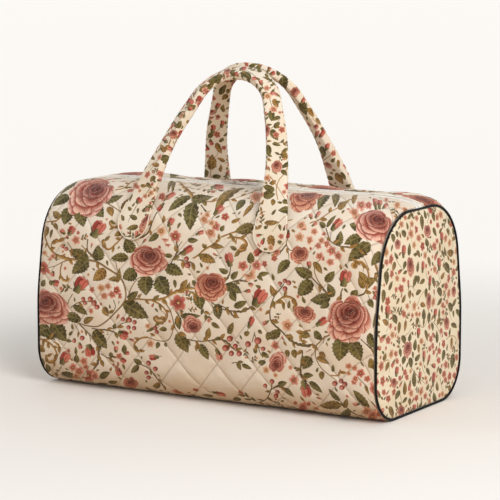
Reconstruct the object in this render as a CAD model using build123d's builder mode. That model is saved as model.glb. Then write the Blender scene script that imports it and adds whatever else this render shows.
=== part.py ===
from build123d import *
from math import atan, cos, degrees, radians, sin, sqrt, tan
import os

# Quilted weekend bag with two sewn handles and a two-way zip, in millimetres.
# X runs along the bag, the front faces -Y, Z is up, and the base rests on Z = 0.
# The origin is under the middle of the base.

# Body, measured over the fabric
bag_length = 520.0
end_height = 264.0
base_width = 238.0
base_corner_radius = 53.0
shoulder_radius = 78.0
shoulder_lean = 21.0
knee_height = 124.0
knee_radius = 260.0
crown = 12.0
belly = 12.0
round_over_length = 65.0
quilt_thickness = 4.0
clearance = 0.3

# Piping, seam binding and base board
piping_diameter = 3.2
binding_width = 9.0
binding_thickness = 1.6
board_thickness = 2.5
board_end_gap = 12.0

# Zip
zip_slot_width = 18.0
tape_width = 15.5
tape_thickness = 0.8
tape_lip = 1.0
tape_split = 1.4
chain_length = 372.0
chain_width = 6.4
chain_height = 1.9
chain_split = 1.2
stop_length = 4.0
zip_meet_x = -10.0

# Zip slider and pull
slider_length = 12.0
slider_width = 10.0
slider_plate = 1.2
slider_web = 0.6
slider_web_length = 5.0
slider_rim = 1.2
bail_width = 2.4
bail_bar = 1.0
bail_length = 7.0
pull_bar = 1.1
pull_thickness = 1.3
pull_width = 7.0
pull_length = 22.0
pull_eye_width = 4.2
pull_eye_length = 3.6
pull_hole = 3.0

# Handles
front_handle_reach = 214.0
back_handle_reach = 219.0
back_foot_shift = -12.0
handle_lean = 62.5
foot_half_spacing = 104.0
knee_half_spacing = 88.0
knee_reach = 105.0
crest_half_spacing = 42.0
leg_radius = 400.0
crest_radius = 60.0
strap_width = 24.0
strap_foot_width = 47.0
strap_thickness = 12.0
strap_foot_thickness = 5.0
strap_first_turn = 30.0
strap_crest_turn = 45.0
strap_flare = 3.2
strap_stations = 11
tab_width = 47.0
tab_drop = 25.0
tab_thickness = 3.2

panel_end = bag_length / 2 - piping_diameter - clearance
top_height = end_height + crown
half_base = base_width / 2
half_belly = half_base + belly
half_shoulder = half_belly - shoulder_lean

os.makedirs("parts", exist_ok=True)


def fullness(x):
    """Share of the crown and belly at a station along the bag: one in the middle, none at the end seams."""
    along = max(0.0, abs(x) - (panel_end - round_over_length)) / round_over_length
    return sqrt(max(0.0, 1 - along**2))


def outline(x, inset):
    """Closed outline of the body across the bag at x, moved inward by inset."""
    puff = belly * fullness(x)
    top = end_height + crown * fullness(x) - inset
    base, knee, shoulder = half_base - inset, half_base + puff - inset, half_shoulder - belly + puff - inset
    corners = [(-base, inset), (base, inset), (knee, knee_height)]
    corners += [(shoulder, top), (-shoulder, top), (-knee, knee_height)]
    radii = [base_corner_radius, base_corner_radius, knee_radius]
    radii += [shoulder_radius, shoulder_radius, knee_radius]
    return FilletPolyline(*corners, radius=[radius - inset for radius in radii], close=True)


def stations():
    """Stations from end to end, closer together where the body rounds over to the end seams."""
    steps = [1.0, 0.95, 0.8, 0.5, 0.0]
    left = [-panel_end + round_over_length * (1 - step) for step in steps]
    return left + [-x for x in reversed(left)]


def body_loft(inset, overrun=0.0):
    """Solid body between the two end seams, inset from the fabric's outer face."""
    with BuildPart() as body:
        for x in stations():
            reach = x + (overrun if x > 0 else -overrun) * (abs(x) == panel_end)
            with BuildSketch(Plane.YZ.offset(reach)):
                with BuildLine():
                    outline(x, inset)
                make_face()
        loft(ruled=True)
    return body.part


def top_band(depth, thickness, half_length):
    """Side view of a band that follows the top line, with its upper face depth below the fabric."""
    upper = [(x, end_height + crown * fullness(x) - depth) for x in stations() if abs(x) < half_length]
    ends = [(-half_length, end_height + crown * fullness(half_length) - depth)]
    ends.append((half_length, ends[0][1]))
    upper = [ends[0]] + upper + [ends[1]]
    lower = [(x, z - thickness) for x, z in reversed(upper)]
    return upper + lower


# Fabric levels at the zip, measured down from the top of the body
tape_depth = tape_lip + clearance
tape_outer = chain_split / 2 + tape_width
slot_half = zip_slot_width / 2

outer_body = body_loft(0.0)
inner_body = body_loft(quilt_thickness, overrun=1.0)

# Front and back panels, each in one piece from the zip, over the shoulder and down to the middle of the base
panels = {"front_panel": -1, "back_panel": 1}
for name, side in panels.items():
    with BuildPart() as panel:
        add(outer_body)
        add(inner_body, mode=Mode.SUBTRACT)
        with BuildSketch(Plane.XY):
            with Locations((0, -side * (base_width / 2 - clearance / 2))):
                Rectangle(2 * bag_length, base_width)
        extrude(amount=2 * end_height, both=True, mode=Mode.SUBTRACT)
        with BuildSketch(Plane.XY.offset(end_height / 2)):
            Rectangle(2 * bag_length, zip_slot_width)
        extrude(amount=end_height, mode=Mode.SUBTRACT)
        with BuildSketch(Plane.XZ) as rebate:
            with BuildLine():
                depth = tape_depth - clearance
                Polyline(*top_band(depth, tape_thickness + 2 * clearance, panel_end + 1.0), close=True)
            make_face()
        extrude(amount=tape_outer + clearance, both=True, mode=Mode.SUBTRACT)
    panel.part.label = name
    export_step(panel.part, f"parts/{name}.step")

# End panels, which close the mouths of the side panels inside the piping
ends = {"left": -1, "right": 1}
end_inset = piping_diameter + 2 * clearance
for name, side in ends.items():
    with BuildPart() as end_panel:
        with BuildSketch(Plane.YZ.offset(side * (panel_end + quilt_thickness))):
            with BuildLine():
                outline(panel_end, end_inset)
            make_face()
        extrude(amount=-side * quilt_thickness)
        rim = end_panel.faces().sort_by(Axis.X)[-1 if side > 0 else 0].edges()
        fillet(rim, quilt_thickness / 3)
    end_panel.part.label = f"{name}_end_panel"
    export_step(end_panel.part, f"parts/{name}_end_panel.step")

# Corded piping round each end seam
piping_radius = piping_diameter / 2
for name, side in ends.items():
    with BuildPart() as piping:
        with BuildLine(Plane.YZ.offset(side * (panel_end + clearance + piping_radius))) as seam:
            outline(panel_end, piping_radius + clearance)
        start = seam.line @ 0
        with BuildSketch(Plane(origin=start, z_dir=seam.line % 0)):
            Circle(piping_radius)
        sweep(path=seam.line)
    piping.part.label = f"{name}_piping"
    export_step(piping.part, f"parts/{name}_piping.step")

# Binding tape over the raw seam edges inside each end
binding_inset = quilt_thickness + clearance
for name, side in ends.items():
    with BuildPart() as binding:
        with BuildSketch(Plane.YZ.offset(side * (panel_end - clearance))):
            with BuildLine():
                outline(panel_end, binding_inset)
            make_face()
            with BuildLine():
                outline(panel_end, binding_inset + binding_thickness)
            make_face(mode=Mode.SUBTRACT)
        extrude(amount=-side * binding_width)
    binding.part.label = f"{name}_seam_binding"
    export_step(binding.part, f"parts/{name}_seam_binding.step")

# Stiff board that lies loose on the base
with BuildPart() as base_board:
    with BuildSketch(Plane.XY.offset(quilt_thickness + clearance)):
        board_length = 2 * (panel_end - binding_width - board_end_gap)
        RectangleRounded(board_length, base_width - 2 * base_corner_radius, board_end_gap)
    extrude(amount=board_thickness)
base_board.part.label = "base_board"
export_step(base_board.part, "parts/base_board.step")

# Zip tapes, which follow the top line from end seam to end seam
for name, side in panels.items():
    with BuildPart() as tape:
        with BuildSketch(Plane.XZ.offset(-side * tape_split / 2)):
            with BuildLine():
                Polyline(*top_band(tape_depth, tape_thickness, panel_end), close=True)
            make_face()
        extrude(amount=-side * (tape_outer - tape_split / 2))
    label = name.replace("panel", "zip_tape")
    tape.part.label = label
    export_step(tape.part, f"parts/{label}.step")

# Zip chain, one coil on each tape along the level stretch
chain_base = top_height - tape_depth
coil_width = (chain_width - chain_split) / 2
for name, side in panels.items():
    with BuildPart() as coil:
        with BuildSketch(Plane.XY.offset(chain_base)):
            with Locations((0, side * (chain_split / 2 + coil_width / 2))):
                Rectangle(chain_length, coil_width)
        extrude(amount=chain_height)
        upper_edges = coil.edges().filter_by(Axis.X).group_by(Axis.Z)[-1]
        fillet(upper_edges, coil_width / 4)
    label = name.replace("panel", "zip_coil")
    coil.part.label = label
    export_step(coil.part, f"parts/{label}.step")

# Stops that close both ends of the chain
for name, side in ends.items():
    with BuildPart() as stop:
        with BuildSketch(Plane.XY.offset(chain_base)):
            with Locations((side * (chain_length / 2 + clearance + stop_length / 2), 0)):
                Rectangle(stop_length, chain_width)
        extrude(amount=chain_height)
        fillet(stop.edges().filter_by(Axis.Z), chain_height / 4)
    stop.part.label = f"{name}_zip_stop"
    export_step(stop.part, f"parts/{name}_zip_stop.step")

# Sliders, which meet nose to nose: two plates joined by a thin web between the coils
upper_plate = chain_base + chain_height + clearance
lower_plate = chain_base - tape_thickness - clearance - slider_plate
bail_hole = pull_bar + 2 * clearance
axle_height = upper_plate + slider_plate + bail_hole / 2
slider_offset = slider_length / 2 + clearance
for name, side in ends.items():
    middle = zip_meet_x + side * slider_offset
    with BuildPart() as slider:
        for level in (lower_plate, upper_plate):
            with BuildSketch(Plane.XY.offset(level)):
                with Locations((middle, 0)):
                    RectangleRounded(slider_length, slider_width, slider_width / 4)
            extrude(amount=slider_plate)
        with BuildSketch(Plane.XY.offset(lower_plate + slider_plate)):
            with Locations((middle - side * (slider_length - slider_web_length) / 4, 0)):
                Rectangle(slider_web_length, slider_web)
        extrude(amount=upper_plate - lower_plate - slider_plate)
        with BuildSketch(Plane.XY.offset(upper_plate)):
            rim_place = slider_width / 2 - slider_rim / 2
            with Locations((middle, rim_place), (middle, -rim_place)):
                Rectangle(slider_length - slider_width / 2, slider_rim)
        extrude(amount=-(chain_height - clearance))
        with BuildSketch(Plane.XZ.offset(-bail_width / 2)):
            bail_middle = (middle, upper_plate + slider_plate + (bail_hole + bail_bar) / 2)
            with Locations(bail_middle):
                Rectangle(bail_length, bail_hole + bail_bar)
            with Locations((middle, axle_height)):
                Rectangle(bail_length - 2 * bail_bar, bail_hole, mode=Mode.SUBTRACT)
        extrude(amount=bail_width)
        bail_top = slider.faces().sort_by(Axis.Z)[-1].edges().filter_by(Axis.Y)
        fillet(bail_top, bail_bar)
    slider.part.label = f"{name}_zip_slider"
    export_step(slider.part, f"parts/{name}_zip_slider.step")

# Pulls, lying flat and pointing away from the meeting point, each turning on its bar under the bail
for name, side in ends.items():
    axle = zip_meet_x + side * (slider_offset + bail_length / 2 - bail_bar - clearance - pull_bar / 2)
    eye_side = (pull_width - pull_eye_width) / 2
    tab_start = axle + side * (pull_bar / 2 + pull_eye_length)
    tab_length = pull_length - pull_eye_length - pull_bar
    with BuildPart() as pull:
        with BuildSketch(Plane.XZ.offset(-pull_width / 2)):
            with Locations((axle, axle_height)):
                Circle(pull_bar / 2)
        extrude(amount=pull_width)
        with BuildSketch(Plane.XY.offset(axle_height - pull_bar / 2)):
            for cheek in (-1, 1):
                with Locations((axle + side * pull_eye_length / 2, cheek * (pull_width - eye_side) / 2)):
                    Rectangle(pull_eye_length + pull_bar, eye_side)
            with Locations((tab_start + side * tab_length / 2, 0)):
                Rectangle(tab_length, pull_width)
            with Locations((tab_start + side * (tab_length - pull_hole), 0)):
                Circle(pull_hole / 2, mode=Mode.SUBTRACT)
        extrude(amount=pull_thickness)
        tip = pull.edges().filter_by(Axis.Z).group_by(Axis.X)[-1 if side > 0 else 0]
        fillet(tip, pull_width / 3)
    pull.part.label = f"{name}_zip_pull"
    export_step(pull.part, f"parts/{name}_zip_pull.step")

# Where a handle leaves the shoulder: the point whose slope is the lean of the handle
side_slope = degrees(atan((half_belly - half_shoulder) / (top_height - knee_height)))
shoulder_middle_y = half_shoulder - shoulder_radius * tan(radians(90 - side_slope) / 2)
shoulder_middle_z = top_height - shoulder_radius
leave_angle = radians(90 - handle_lean)
leave_radius = shoulder_radius + clearance + tab_thickness
foot_y = shoulder_middle_y + leave_radius * cos(leave_angle)
foot_z = shoulder_middle_z + leave_radius * sin(leave_angle)
lean = radians(handle_lean)


def smooth(start, stop, value):
    """Smooth step from nought to one."""
    share = min(1.0, max(0.0, (value - start) / (stop - start)))
    return share * share * (3 - 2 * share)


def strap_plane(route, share):
    """Plane across the back strap at a share of its route, and the strap's width and thickness there."""
    spot, run = route @ share, route % share
    rise = min(share, 1 - share) * 2
    turn = strap_first_turn * smooth(0.0, 0.5, rise) + (strap_crest_turn - strap_first_turn) * smooth(0.5, 1.0, rise)
    up, away = Vector(0, -cos(lean), sin(lean)), Vector(0, sin(lean), cos(lean))
    across = Vector(1, 0, 0) * -run.Z + up * run.X
    along = Vector(1, 0, 0) * run.X + up * run.Z
    spot_3d = Vector(spot.X, foot_y, foot_z) + up * spot.Z
    wide = across * cos(radians(turn)) - away * sin(radians(turn))
    width = strap_width + (strap_foot_width - strap_width) * (1 - rise) ** strap_flare
    thickness = strap_foot_thickness + (strap_thickness - strap_foot_thickness) * smooth(0.0, 0.3, rise)
    return Plane(origin=spot_3d, x_dir=wide, z_dir=along), width, thickness


outer_tab = body_loft(-clearance - tab_thickness)
inner_tab = body_loft(-clearance, overrun=1.0)

# Handles: round-ended tabs sewn flat to the panel, then a padded strap that turns as it rises.
# Each is made on the back panel, and the front one is then turned over to the front.
handles = {"back": (back_foot_shift, back_handle_reach), "front": (0.0, front_handle_reach)}
for name, (shift, reach) in handles.items():
    with BuildLine(Plane.XZ) as route:
        feet = [(shift - foot_half_spacing, 0), (shift + foot_half_spacing, 0)]
        knees = [(shift / 6 - knee_half_spacing, knee_reach), (shift / 6 + knee_half_spacing, knee_reach)]
        crest = [(-crest_half_spacing, reach), (crest_half_spacing, reach)]
        bends = [leg_radius, crest_radius, crest_radius, leg_radius]
        FilletPolyline(feet[0], knees[0], *crest, knees[1], feet[1], radius=bends)
    with BuildPart() as handle:
        with BuildSketch(Plane.XZ):
            for foot in feet:
                with Locations((foot[0], foot_z - tab_drop + tab_width / 2)):
                    Circle(tab_width / 2)
        extrude(amount=-base_width)
        add(outer_tab, mode=Mode.INTERSECT)
        add(inner_tab, mode=Mode.SUBTRACT)
        for number in range(2 * strap_stations + 1):
            place, width, thickness = strap_plane(route.line, number / (2 * strap_stations))
            with BuildSketch(place):
                Ellipse(width / 2, thickness / 2)
        loft(ruled=True)
        if name == "front":
            mirror(about=Plane.XZ, mode=Mode.REPLACE)
    handle.part.label = f"{name}_handle"
    export_step(handle.part, f"parts/{name}_handle.step")
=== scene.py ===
import bmesh
import bpy
import math
import numpy as np
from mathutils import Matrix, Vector


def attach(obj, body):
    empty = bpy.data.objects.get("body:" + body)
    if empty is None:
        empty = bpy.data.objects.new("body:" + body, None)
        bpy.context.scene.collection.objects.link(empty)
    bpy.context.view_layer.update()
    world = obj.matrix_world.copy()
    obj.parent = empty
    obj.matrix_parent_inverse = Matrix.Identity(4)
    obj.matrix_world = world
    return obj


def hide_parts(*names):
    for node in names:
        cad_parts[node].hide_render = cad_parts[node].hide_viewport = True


# Quilted weekend bag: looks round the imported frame. Shapes are worked out in millimetres and stored in metres.
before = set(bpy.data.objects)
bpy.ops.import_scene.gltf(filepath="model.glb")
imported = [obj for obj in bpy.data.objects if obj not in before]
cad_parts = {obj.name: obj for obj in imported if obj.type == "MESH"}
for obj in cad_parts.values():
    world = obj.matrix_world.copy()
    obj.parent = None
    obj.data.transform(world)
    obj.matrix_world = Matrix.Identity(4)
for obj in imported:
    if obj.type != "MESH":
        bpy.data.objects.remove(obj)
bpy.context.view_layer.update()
print("frame loaded:", len(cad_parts), "nodes")

bag = {
    "panelEnd": 256.5,
    "endHeight": 264.0,
    "halfBase": 119.0,
    "halfShoulder": 98.0,
    "baseRadius": 53.0,
    "shoulderRadius": 78.0,
    "kneeHeight": 124.0,
    "kneeRadius": 260.0,
    "crown": 12.0,
    "belly": 12.0,
    "roundOver": 65.0,
    "slotHalf": 9.0,
    "quilt": 4.0,
}


# Shape helpers

def smoothStep(start, stop, value):
    share = np.clip((np.asarray(value, float) - start) / (stop - start), 0.0, 1.0)
    return share * share * (3 - 2 * share)


def filletedPath(corners, radii, fine=28):
    # runs between the corners with an arc of each radius at the inner corners
    corners = np.array(corners, float)
    points = [corners[0]]
    for place, radius in zip(range(1, len(corners) - 1), radii):
        before = corners[place - 1] - corners[place]
        after = corners[place + 1] - corners[place]
        before /= np.linalg.norm(before)
        after /= np.linalg.norm(after)
        opening = math.acos(np.clip(before @ after, -1, 1))
        bisector = (before + after) / np.linalg.norm(before + after)
        middle = corners[place] + bisector * radius / math.sin(opening / 2)
        first = corners[place] + before * radius / math.tan(opening / 2) - middle
        last = corners[place] + after * radius / math.tan(opening / 2) - middle
        turn = math.atan2(first[0] * last[1] - first[1] * last[0], first @ last)
        for angle in np.linspace(0, turn, fine):
            c, s = math.cos(angle), math.sin(angle)
            points.append(middle + np.array([c * first[0] - s * first[1], s * first[0] + c * first[1]]))
    points.append(corners[-1])
    return np.array(points)


def lengthsAlong(points):
    return np.concatenate([[0.0], np.cumsum(np.linalg.norm(np.diff(points, axis=0), axis=1))])


def pointsAt(points, where):
    lengths = lengthsAlong(points)
    return np.stack([np.interp(where, lengths, points[:, k]) for k in range(points.shape[1])], axis=-1)


def fullness(x):
    along = np.clip((np.abs(x) - (bag["panelEnd"] - bag["roundOver"])) / bag["roundOver"], 0, 1)
    return np.sqrt(1 - along ** 2)


def sideProfile(x, inset=0.0):
    # one side of the body at x, as (y, z), from the zip edge over the shoulder to the middle of the base
    full = float(fullness(x))
    puff = bag["belly"] * full
    top = bag["endHeight"] + bag["crown"] * full - inset
    corners = [(bag["slotHalf"], top), (bag["halfShoulder"] + puff - inset, top),
               (bag["halfBase"] + puff - inset, bag["kneeHeight"]), (bag["halfBase"] - inset, inset), (0.15, inset)]
    return filletedPath(corners, [bag["shoulderRadius"] - inset, bag["kneeRadius"] - inset, bag["baseRadius"] - inset])


def panelGrid(side, step):
    # smooth surface of a side panel (no quilting) and its cloth places: u along the bag, v down from the zip edge
    fine = np.linspace(0, bag["panelEnd"], 4001)
    crownLine = np.stack([fine, bag["crown"] * fullness(fine)], axis=-1)
    lengths = lengthsAlong(crownLine)
    half = 2 * int(round(lengths[-1] / step / 2))
    uHalf = np.linspace(0, lengths[-1], half + 1)
    xHalf = np.interp(uHalf, lengths, fine)
    xs = np.concatenate([-xHalf[:0:-1], xHalf])
    us = np.concatenate([-uHalf[:0:-1], uHalf])
    rows = 4 * int(round(470 / step / 4))
    places, cloth = np.zeros((len(xs), rows + 1, 3)), np.zeros((len(xs), rows + 1, 2))
    for number, (x, u) in enumerate(zip(xs, us)):
        profile = sideProfile(x)
        total = lengthsAlong(profile)[-1]
        v = np.linspace(0, total, rows + 1)
        yz = pointsAt(profile, v)
        places[number, :, 0] = x
        places[number, :, 1] = side * yz[:, 0]
        places[number, :, 2] = yz[:, 1]
        cloth[number, :, 0] = u
        cloth[number, :, 1] = v
    return places, cloth


def gridNormals(places, outward):
    normals = np.cross(np.gradient(places, axis=0), np.gradient(places, axis=1))
    normals /= np.maximum(np.linalg.norm(normals, axis=-1, keepdims=True), 1e-9)
    return normals * outward


# Cloth and its quilting, in millimetres of cloth

quilting = {
    "repeat": 61.0,      # along the bag, between one sewn line and the next
    "lean": 0.85,        # how much a line moves along the bag for each mm it climbs
    "shiftRising": 0.60,
    "shiftFalling": 0.34,
    "puff": 1.35,
    "pucker": 0.22,
    "sway": 0.9,         # how far the lines stray along the bag on their way down, and over what length
    "swayLength": 31.0,
    "swayShift": 0.7,
    "drift": 0.6,        # the same for their way along the bag
    "driftLength": 23.0,
}
sewnLines = ((quilting["lean"], quilting["shiftRising"]), (-quilting["lean"], quilting["shiftFalling"]))
lineSpacing = quilting["repeat"] * math.sin(math.atan(1 / quilting["lean"]))


def sway(v):
    return quilting["sway"] * np.sin(v / quilting["swayLength"] + quilting["swayShift"])


def drift(u):
    return quilting["drift"] * np.sin(u / quilting["driftLength"])


def diagonals(cloth):
    # distance in mm to the nearest rising and falling sewn line
    u, v = cloth[..., 0], cloth[..., 1]
    u = u + sway(v) + drift(u)
    rising = (u + quilting["lean"] * v) / quilting["repeat"] - quilting["shiftRising"]
    falling = (u - quilting["lean"] * v) / quilting["repeat"] - quilting["shiftFalling"]
    return (rising - np.round(rising)) * lineSpacing, (falling - np.round(falling)) * lineSpacing


def quiltHeight(cloth):
    rising, falling = diagonals(cloth)
    dome = (np.sin(np.pi * np.abs(rising) / lineSpacing) * np.sin(np.pi * np.abs(falling) / lineSpacing)) ** 0.5
    edge = 1 - np.exp(-(np.abs(rising) / 3.2) ** 1.3)
    edge = edge * (1 - np.exp(-(np.abs(falling) / 3.2) ** 1.3))
    height = (0.72 * dome + 0.28 * edge) * quilting["puff"]
    # small puckers that run off the sewn lines
    near = np.exp(-(rising / 9) ** 2)
    height = height + quilting["pucker"] * near * np.sin(falling * 0.62 + 2 * np.sin(rising * 0.2))
    near = np.exp(-(falling / 9) ** 2)
    return height + quilting["pucker"] * near * np.sin(rising * 0.66 + 1.7 * np.sin(falling * 0.23))


def softWaves(cloth, seed, reach=1.0):
    # long soft unevenness of cloth that is only held by its seams
    chance = np.random.default_rng(seed)
    waves = np.zeros(cloth.shape[:-1])
    for length, share in ((190, 0.8), (120, 0.6), (78, 0.42), (47, 0.22)):
        for _ in range(3):
            turn, shift = chance.uniform(0, math.pi), chance.uniform(0, 2 * math.pi)
            along = cloth[..., 0] * math.cos(turn) + cloth[..., 1] * math.sin(turn)
            waves += share * np.sin(along * 2 * math.pi / length + shift)
    return waves * reach / 2.2


# Print: every motif gives its own flat coordinates to the faces it covers, and the material draws it from them

farAway = 9.0
stemLead = 8


def smoothStroke(points):
    # a stem's few points turned into a smooth line with a point each 1.5 mm
    points = np.array(points, float)
    if len(points) > 2:
        ends = np.vstack([2 * points[0] - points[1], points, 2 * points[-1] - points[-2]])
        fine = []
        for k in range(1, len(ends) - 2):
            a, b, c, d = ends[k - 1:k + 3]
            for t in np.linspace(0, 1, 12, endpoint=False):
                fine.append(0.5 * (2 * b + (c - a) * t + (2 * a - 5 * b + 4 * c - d) * t ** 2
                                   + (3 * b - a - 3 * c + d) * t ** 3))
        points = np.array(fine + [points[-1]])
    length = lengthsAlong(points)[-1]
    return pointsAt(points, np.linspace(0, length, max(3, int(length / 1.5)))), length


def blankLayers(corners, layers):
    # corners: (faces, 4, 2) cloth places. A layer holds a (faces, 4, 3) local place for each of them
    return ([np.full(corners.shape[:2] + (3,), farAway) for _ in range(layers)],
            [np.zeros(len(corners), bool) for _ in range(layers)], corners.mean(1))


def layOn(found, taken, close, local):
    # the motif goes on the layer where the fewest of its faces are taken
    layer = int(np.argmin([int(full[close].sum()) for full in taken]))
    free = ~taken[layer][close]
    found[layer][close[free]] = local[free]
    taken[layer][close[free]] = True


def stampMotifs(corners, motifs, layers):
    found, taken, middles = blankLayers(corners, layers)
    for number, (cu, cv, au, av, bu, bv, tone) in enumerate(motifs):
        spread = np.array([[au, bu], [av, bv]])
        if abs(np.linalg.det(spread)) < 1e-3:
            continue
        reach = 1.3 * (math.hypot(au, av) + math.hypot(bu, bv)) + 6
        close = np.nonzero((np.abs(middles - (cu, cv)) < reach).all(1))[0]
        local = (corners[close] - (cu, cv)) @ np.linalg.inv(spread).T
        inside = (np.abs(local) < 1.22).all(-1).any(-1)
        close, local = close[inside], local[inside]
        third = np.full(local.shape[:2] + (1,), tone + 4 * (number % 5))
        layOn(found, taken, close, np.concatenate([local, third], -1))
    return found


def stampStems(corners, stems, layers):
    # stems: [width, tone, u, v, u, v ...]. Local places are (distance, share of the length) and a number for the
    # width, tone and length
    found, taken, middles = blankLayers(corners, layers)
    for stem in stems:
        width, tone = stem[0], stem[1]
        line, length = smoothStroke(np.array(stem[2:]).reshape(-1, 2))
        start, end = line[0] - line[1], line[-1] - line[-2]
        # a lead before and after the stem, so that its ends are cut off by the shader
        line = np.vstack([line[0] + start / np.linalg.norm(start) * stemLead, line,
                          line[-1] + end / np.linalg.norm(end) * stemLead])
        low, high = line.min(0) - 6, line.max(0) + 6
        close = np.nonzero(((middles > low) & (middles < high)).all(1))[0]
        gap = np.full(len(close), 1e9)
        for k in range(0, len(line), 2):
            gap = np.minimum(gap, np.hypot(*(middles[close] - line[k]).T))
        close = close[gap < width + 4.5]
        if not len(close):
            continue
        at = corners[close].reshape(-1, 2)
        run, steps = np.diff(line, axis=0), lengthsAlong(line)
        best, signed, along = np.full(len(at), 1e9), np.zeros(len(at)), np.zeros(len(at))
        for k in range(len(run)):
            size = np.linalg.norm(run[k])
            t = ((at - line[k]) @ run[k]) / size ** 2
            held = np.clip(t, 0, 1)
            foot = line[k] + held[:, None] * run[k]
            distance = np.hypot(*(at - foot).T)
            side = np.sign((at[:, 0] - line[k, 0]) * run[k, 1] - (at[:, 1] - line[k, 1]) * run[k, 0])
            nearer = distance < best
            best[nearer] = distance[nearer]
            signed[nearer] = (distance * side)[nearer]
            along[nearer] = (steps[k] + held * size)[nearer]
        number = tone * 10 + width + 100 * int(length)
        local = np.stack([signed, (along - stemLead) / length, np.full(len(at), number)], -1).reshape(-1, 4, 3)
        inside = (np.abs(local[..., 0]) < width + 2.6).any(-1)
        layOn(found, taken, close[inside], local[inside])
    return found


printLayers = ["stemA", "stemB", "leafA", "leafB", "leafC", "budA", "budB", "blossomA", "blossomB", "roseA"]


def layPrint(mesh, corners, motifs):
    # writes the print's layers on a mesh whose faces from the first one on are the ones in corners
    stems = stampStems(corners, motifs["vine"], 2)
    leaves = stampMotifs(corners, motifs["leaf"], 3)
    buds = stampMotifs(corners, motifs["bud"] + [row[:6] + [row[6] + 2] for row in motifs["berry"]], 2)
    blossoms = stampMotifs(corners, motifs["blossom"], 2)
    roses = stampMotifs(corners, motifs["rose"], 1)
    for name, layer in zip(printLayers, stems + leaves + buds + blossoms + roses):
        attribute = mesh.attributes.new(name, "FLOAT_VECTOR", "CORNER")
        values = np.full((len(mesh.loops), 3), farAway, np.float32)
        values[:corners.shape[0] * 4] = layer.reshape(-1, 3)
        attribute.data.foreach_set("vector", values.ravel())


def layCloth(mesh, perLoop):
    attribute = mesh.attributes.new("cloth", "FLOAT_VECTOR", "CORNER")
    values = np.zeros((len(mesh.loops), 3), np.float32)
    values[:len(perLoop), :2] = perLoop
    attribute.data.foreach_set("vector", values.ravel())


# Node helpers

def paint(code):
    # "#RRGGBB" as it looks on screen, to the linear colour that nodes hold
    channels = [int(code[k:k + 2], 16) / 255 for k in (1, 3, 5)]
    return tuple(c / 12.92 if c <= 0.04045 else ((c + 0.055) / 1.055) ** 2.4 for c in channels) + (1.0,)


def feed(tree, socket, value):
    # a flow is linked to the socket, a plain value is set on it
    if isinstance(value, Flow):
        tree.links.new(value.socket, socket)
    else:
        socket.default_value = value


class Flow:
    # a number on its way through a node tree, with plain arithmetic

    def __init__(self, tree, socket):
        self.tree, self.socket = tree, socket

    def step(self, operation, *others):
        node = self.tree.nodes.new("ShaderNodeMath")
        node.operation = operation
        for place, value in enumerate((self,) + others):
            feed(self.tree, node.inputs[place], value)
        return Flow(self.tree, node.outputs[0])

    def __add__(self, other): return self.step("ADD", other)
    def __radd__(self, other): return self.step("ADD", other)
    def __sub__(self, other): return self.step("SUBTRACT", other)
    def __rsub__(self, other): return self.step("MULTIPLY_ADD", -1.0, other)
    def __mul__(self, other): return self.step("MULTIPLY", other)
    def __rmul__(self, other): return self.step("MULTIPLY", other)
    def __truediv__(self, other): return self.step("DIVIDE", other)
    def __pow__(self, other): return self.step("POWER", other)
    def size(self): return self.step("ABSOLUTE")
    def sine(self): return self.step("SINE")
    def cosine(self): return self.step("COSINE")
    def fraction(self): return self.step("FRACT")
    def whole(self): return self.step("FLOOR")
    def root(self): return self.step("SQRT")
    def least(self, other): return self.step("MINIMUM", other)
    def most(self, other): return self.step("MAXIMUM", other)

    def soft(self, low, high):
        node = self.tree.nodes.new("ShaderNodeMapRange")
        node.interpolation_type = "SMOOTHSTEP"
        self.tree.links.new(self.socket, node.inputs["Value"])
        ends = (min(low, high), max(low, high)) + ((1, 0) if low > high else (0, 1))
        for label, value in zip(("From Min", "From Max", "To Min", "To Max"), ends):
            node.inputs[label].default_value = value
        return Flow(self.tree, node.outputs["Result"])


def mixed(share, first, second, blend="MIX"):
    # colour mix; share, first and second are flows or plain values
    tree = next(v for v in (share, first, second) if isinstance(v, Flow)).tree
    node = tree.nodes.new("ShaderNodeMix")
    node.data_type, node.blend_type = "RGBA", blend
    for socket, value in ((node.inputs["Factor"], share), (node.inputs[6], first), (node.inputs[7], second)):
        feed(tree, socket, paint(value) if isinstance(value, str) else value)
    return Flow(tree, node.outputs[2])


def newGroup(name, inputs, outputs):
    tree = bpy.data.node_groups.new(name, "ShaderNodeTree")
    for label, kind, value in inputs:
        socket = tree.interface.new_socket(name=label, in_out="INPUT", socket_type="NodeSocket" + kind)
        if value is not None:
            socket.default_value = value
    for label, kind in outputs:
        tree.interface.new_socket(name=label, in_out="OUTPUT", socket_type="NodeSocket" + kind)
    enter, leave = tree.nodes.new("NodeGroupInput"), tree.nodes.new("NodeGroupOutput")
    flows = {label: Flow(tree, enter.outputs[label]) for label, _, _ in inputs}
    return tree, flows, lambda label, flow: tree.links.new(flow.socket, leave.inputs[label])


def useGroup(tree, group, **values):
    node = tree.nodes.new("ShaderNodeGroup")
    node.node_tree = group
    for label, value in values.items():
        feed(tree, node.inputs[label], value)
    return lambda label: Flow(tree, node.outputs[label])


def parts(flow):
    node = flow.tree.nodes.new("ShaderNodeSeparateXYZ")
    flow.tree.links.new(flow.socket, node.inputs[0])
    return [Flow(flow.tree, node.outputs[k]) for k in range(3)]


def joined(tree, x, y, z=0.0):
    node = tree.nodes.new("ShaderNodeCombineXYZ")
    for place, value in enumerate((x, y, z)):
        feed(tree, node.inputs[place], value)
    return Flow(tree, node.outputs[0])


def noise(vector, scale, detail=2.0, rough=0.5):
    node = vector.tree.nodes.new("ShaderNodeTexNoise")
    node.inputs["Scale"].default_value, node.inputs["Detail"].default_value = scale, detail
    node.inputs["Roughness"].default_value = rough
    vector.tree.links.new(vector.socket, node.inputs["Vector"])
    return Flow(vector.tree, node.outputs[0])


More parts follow.
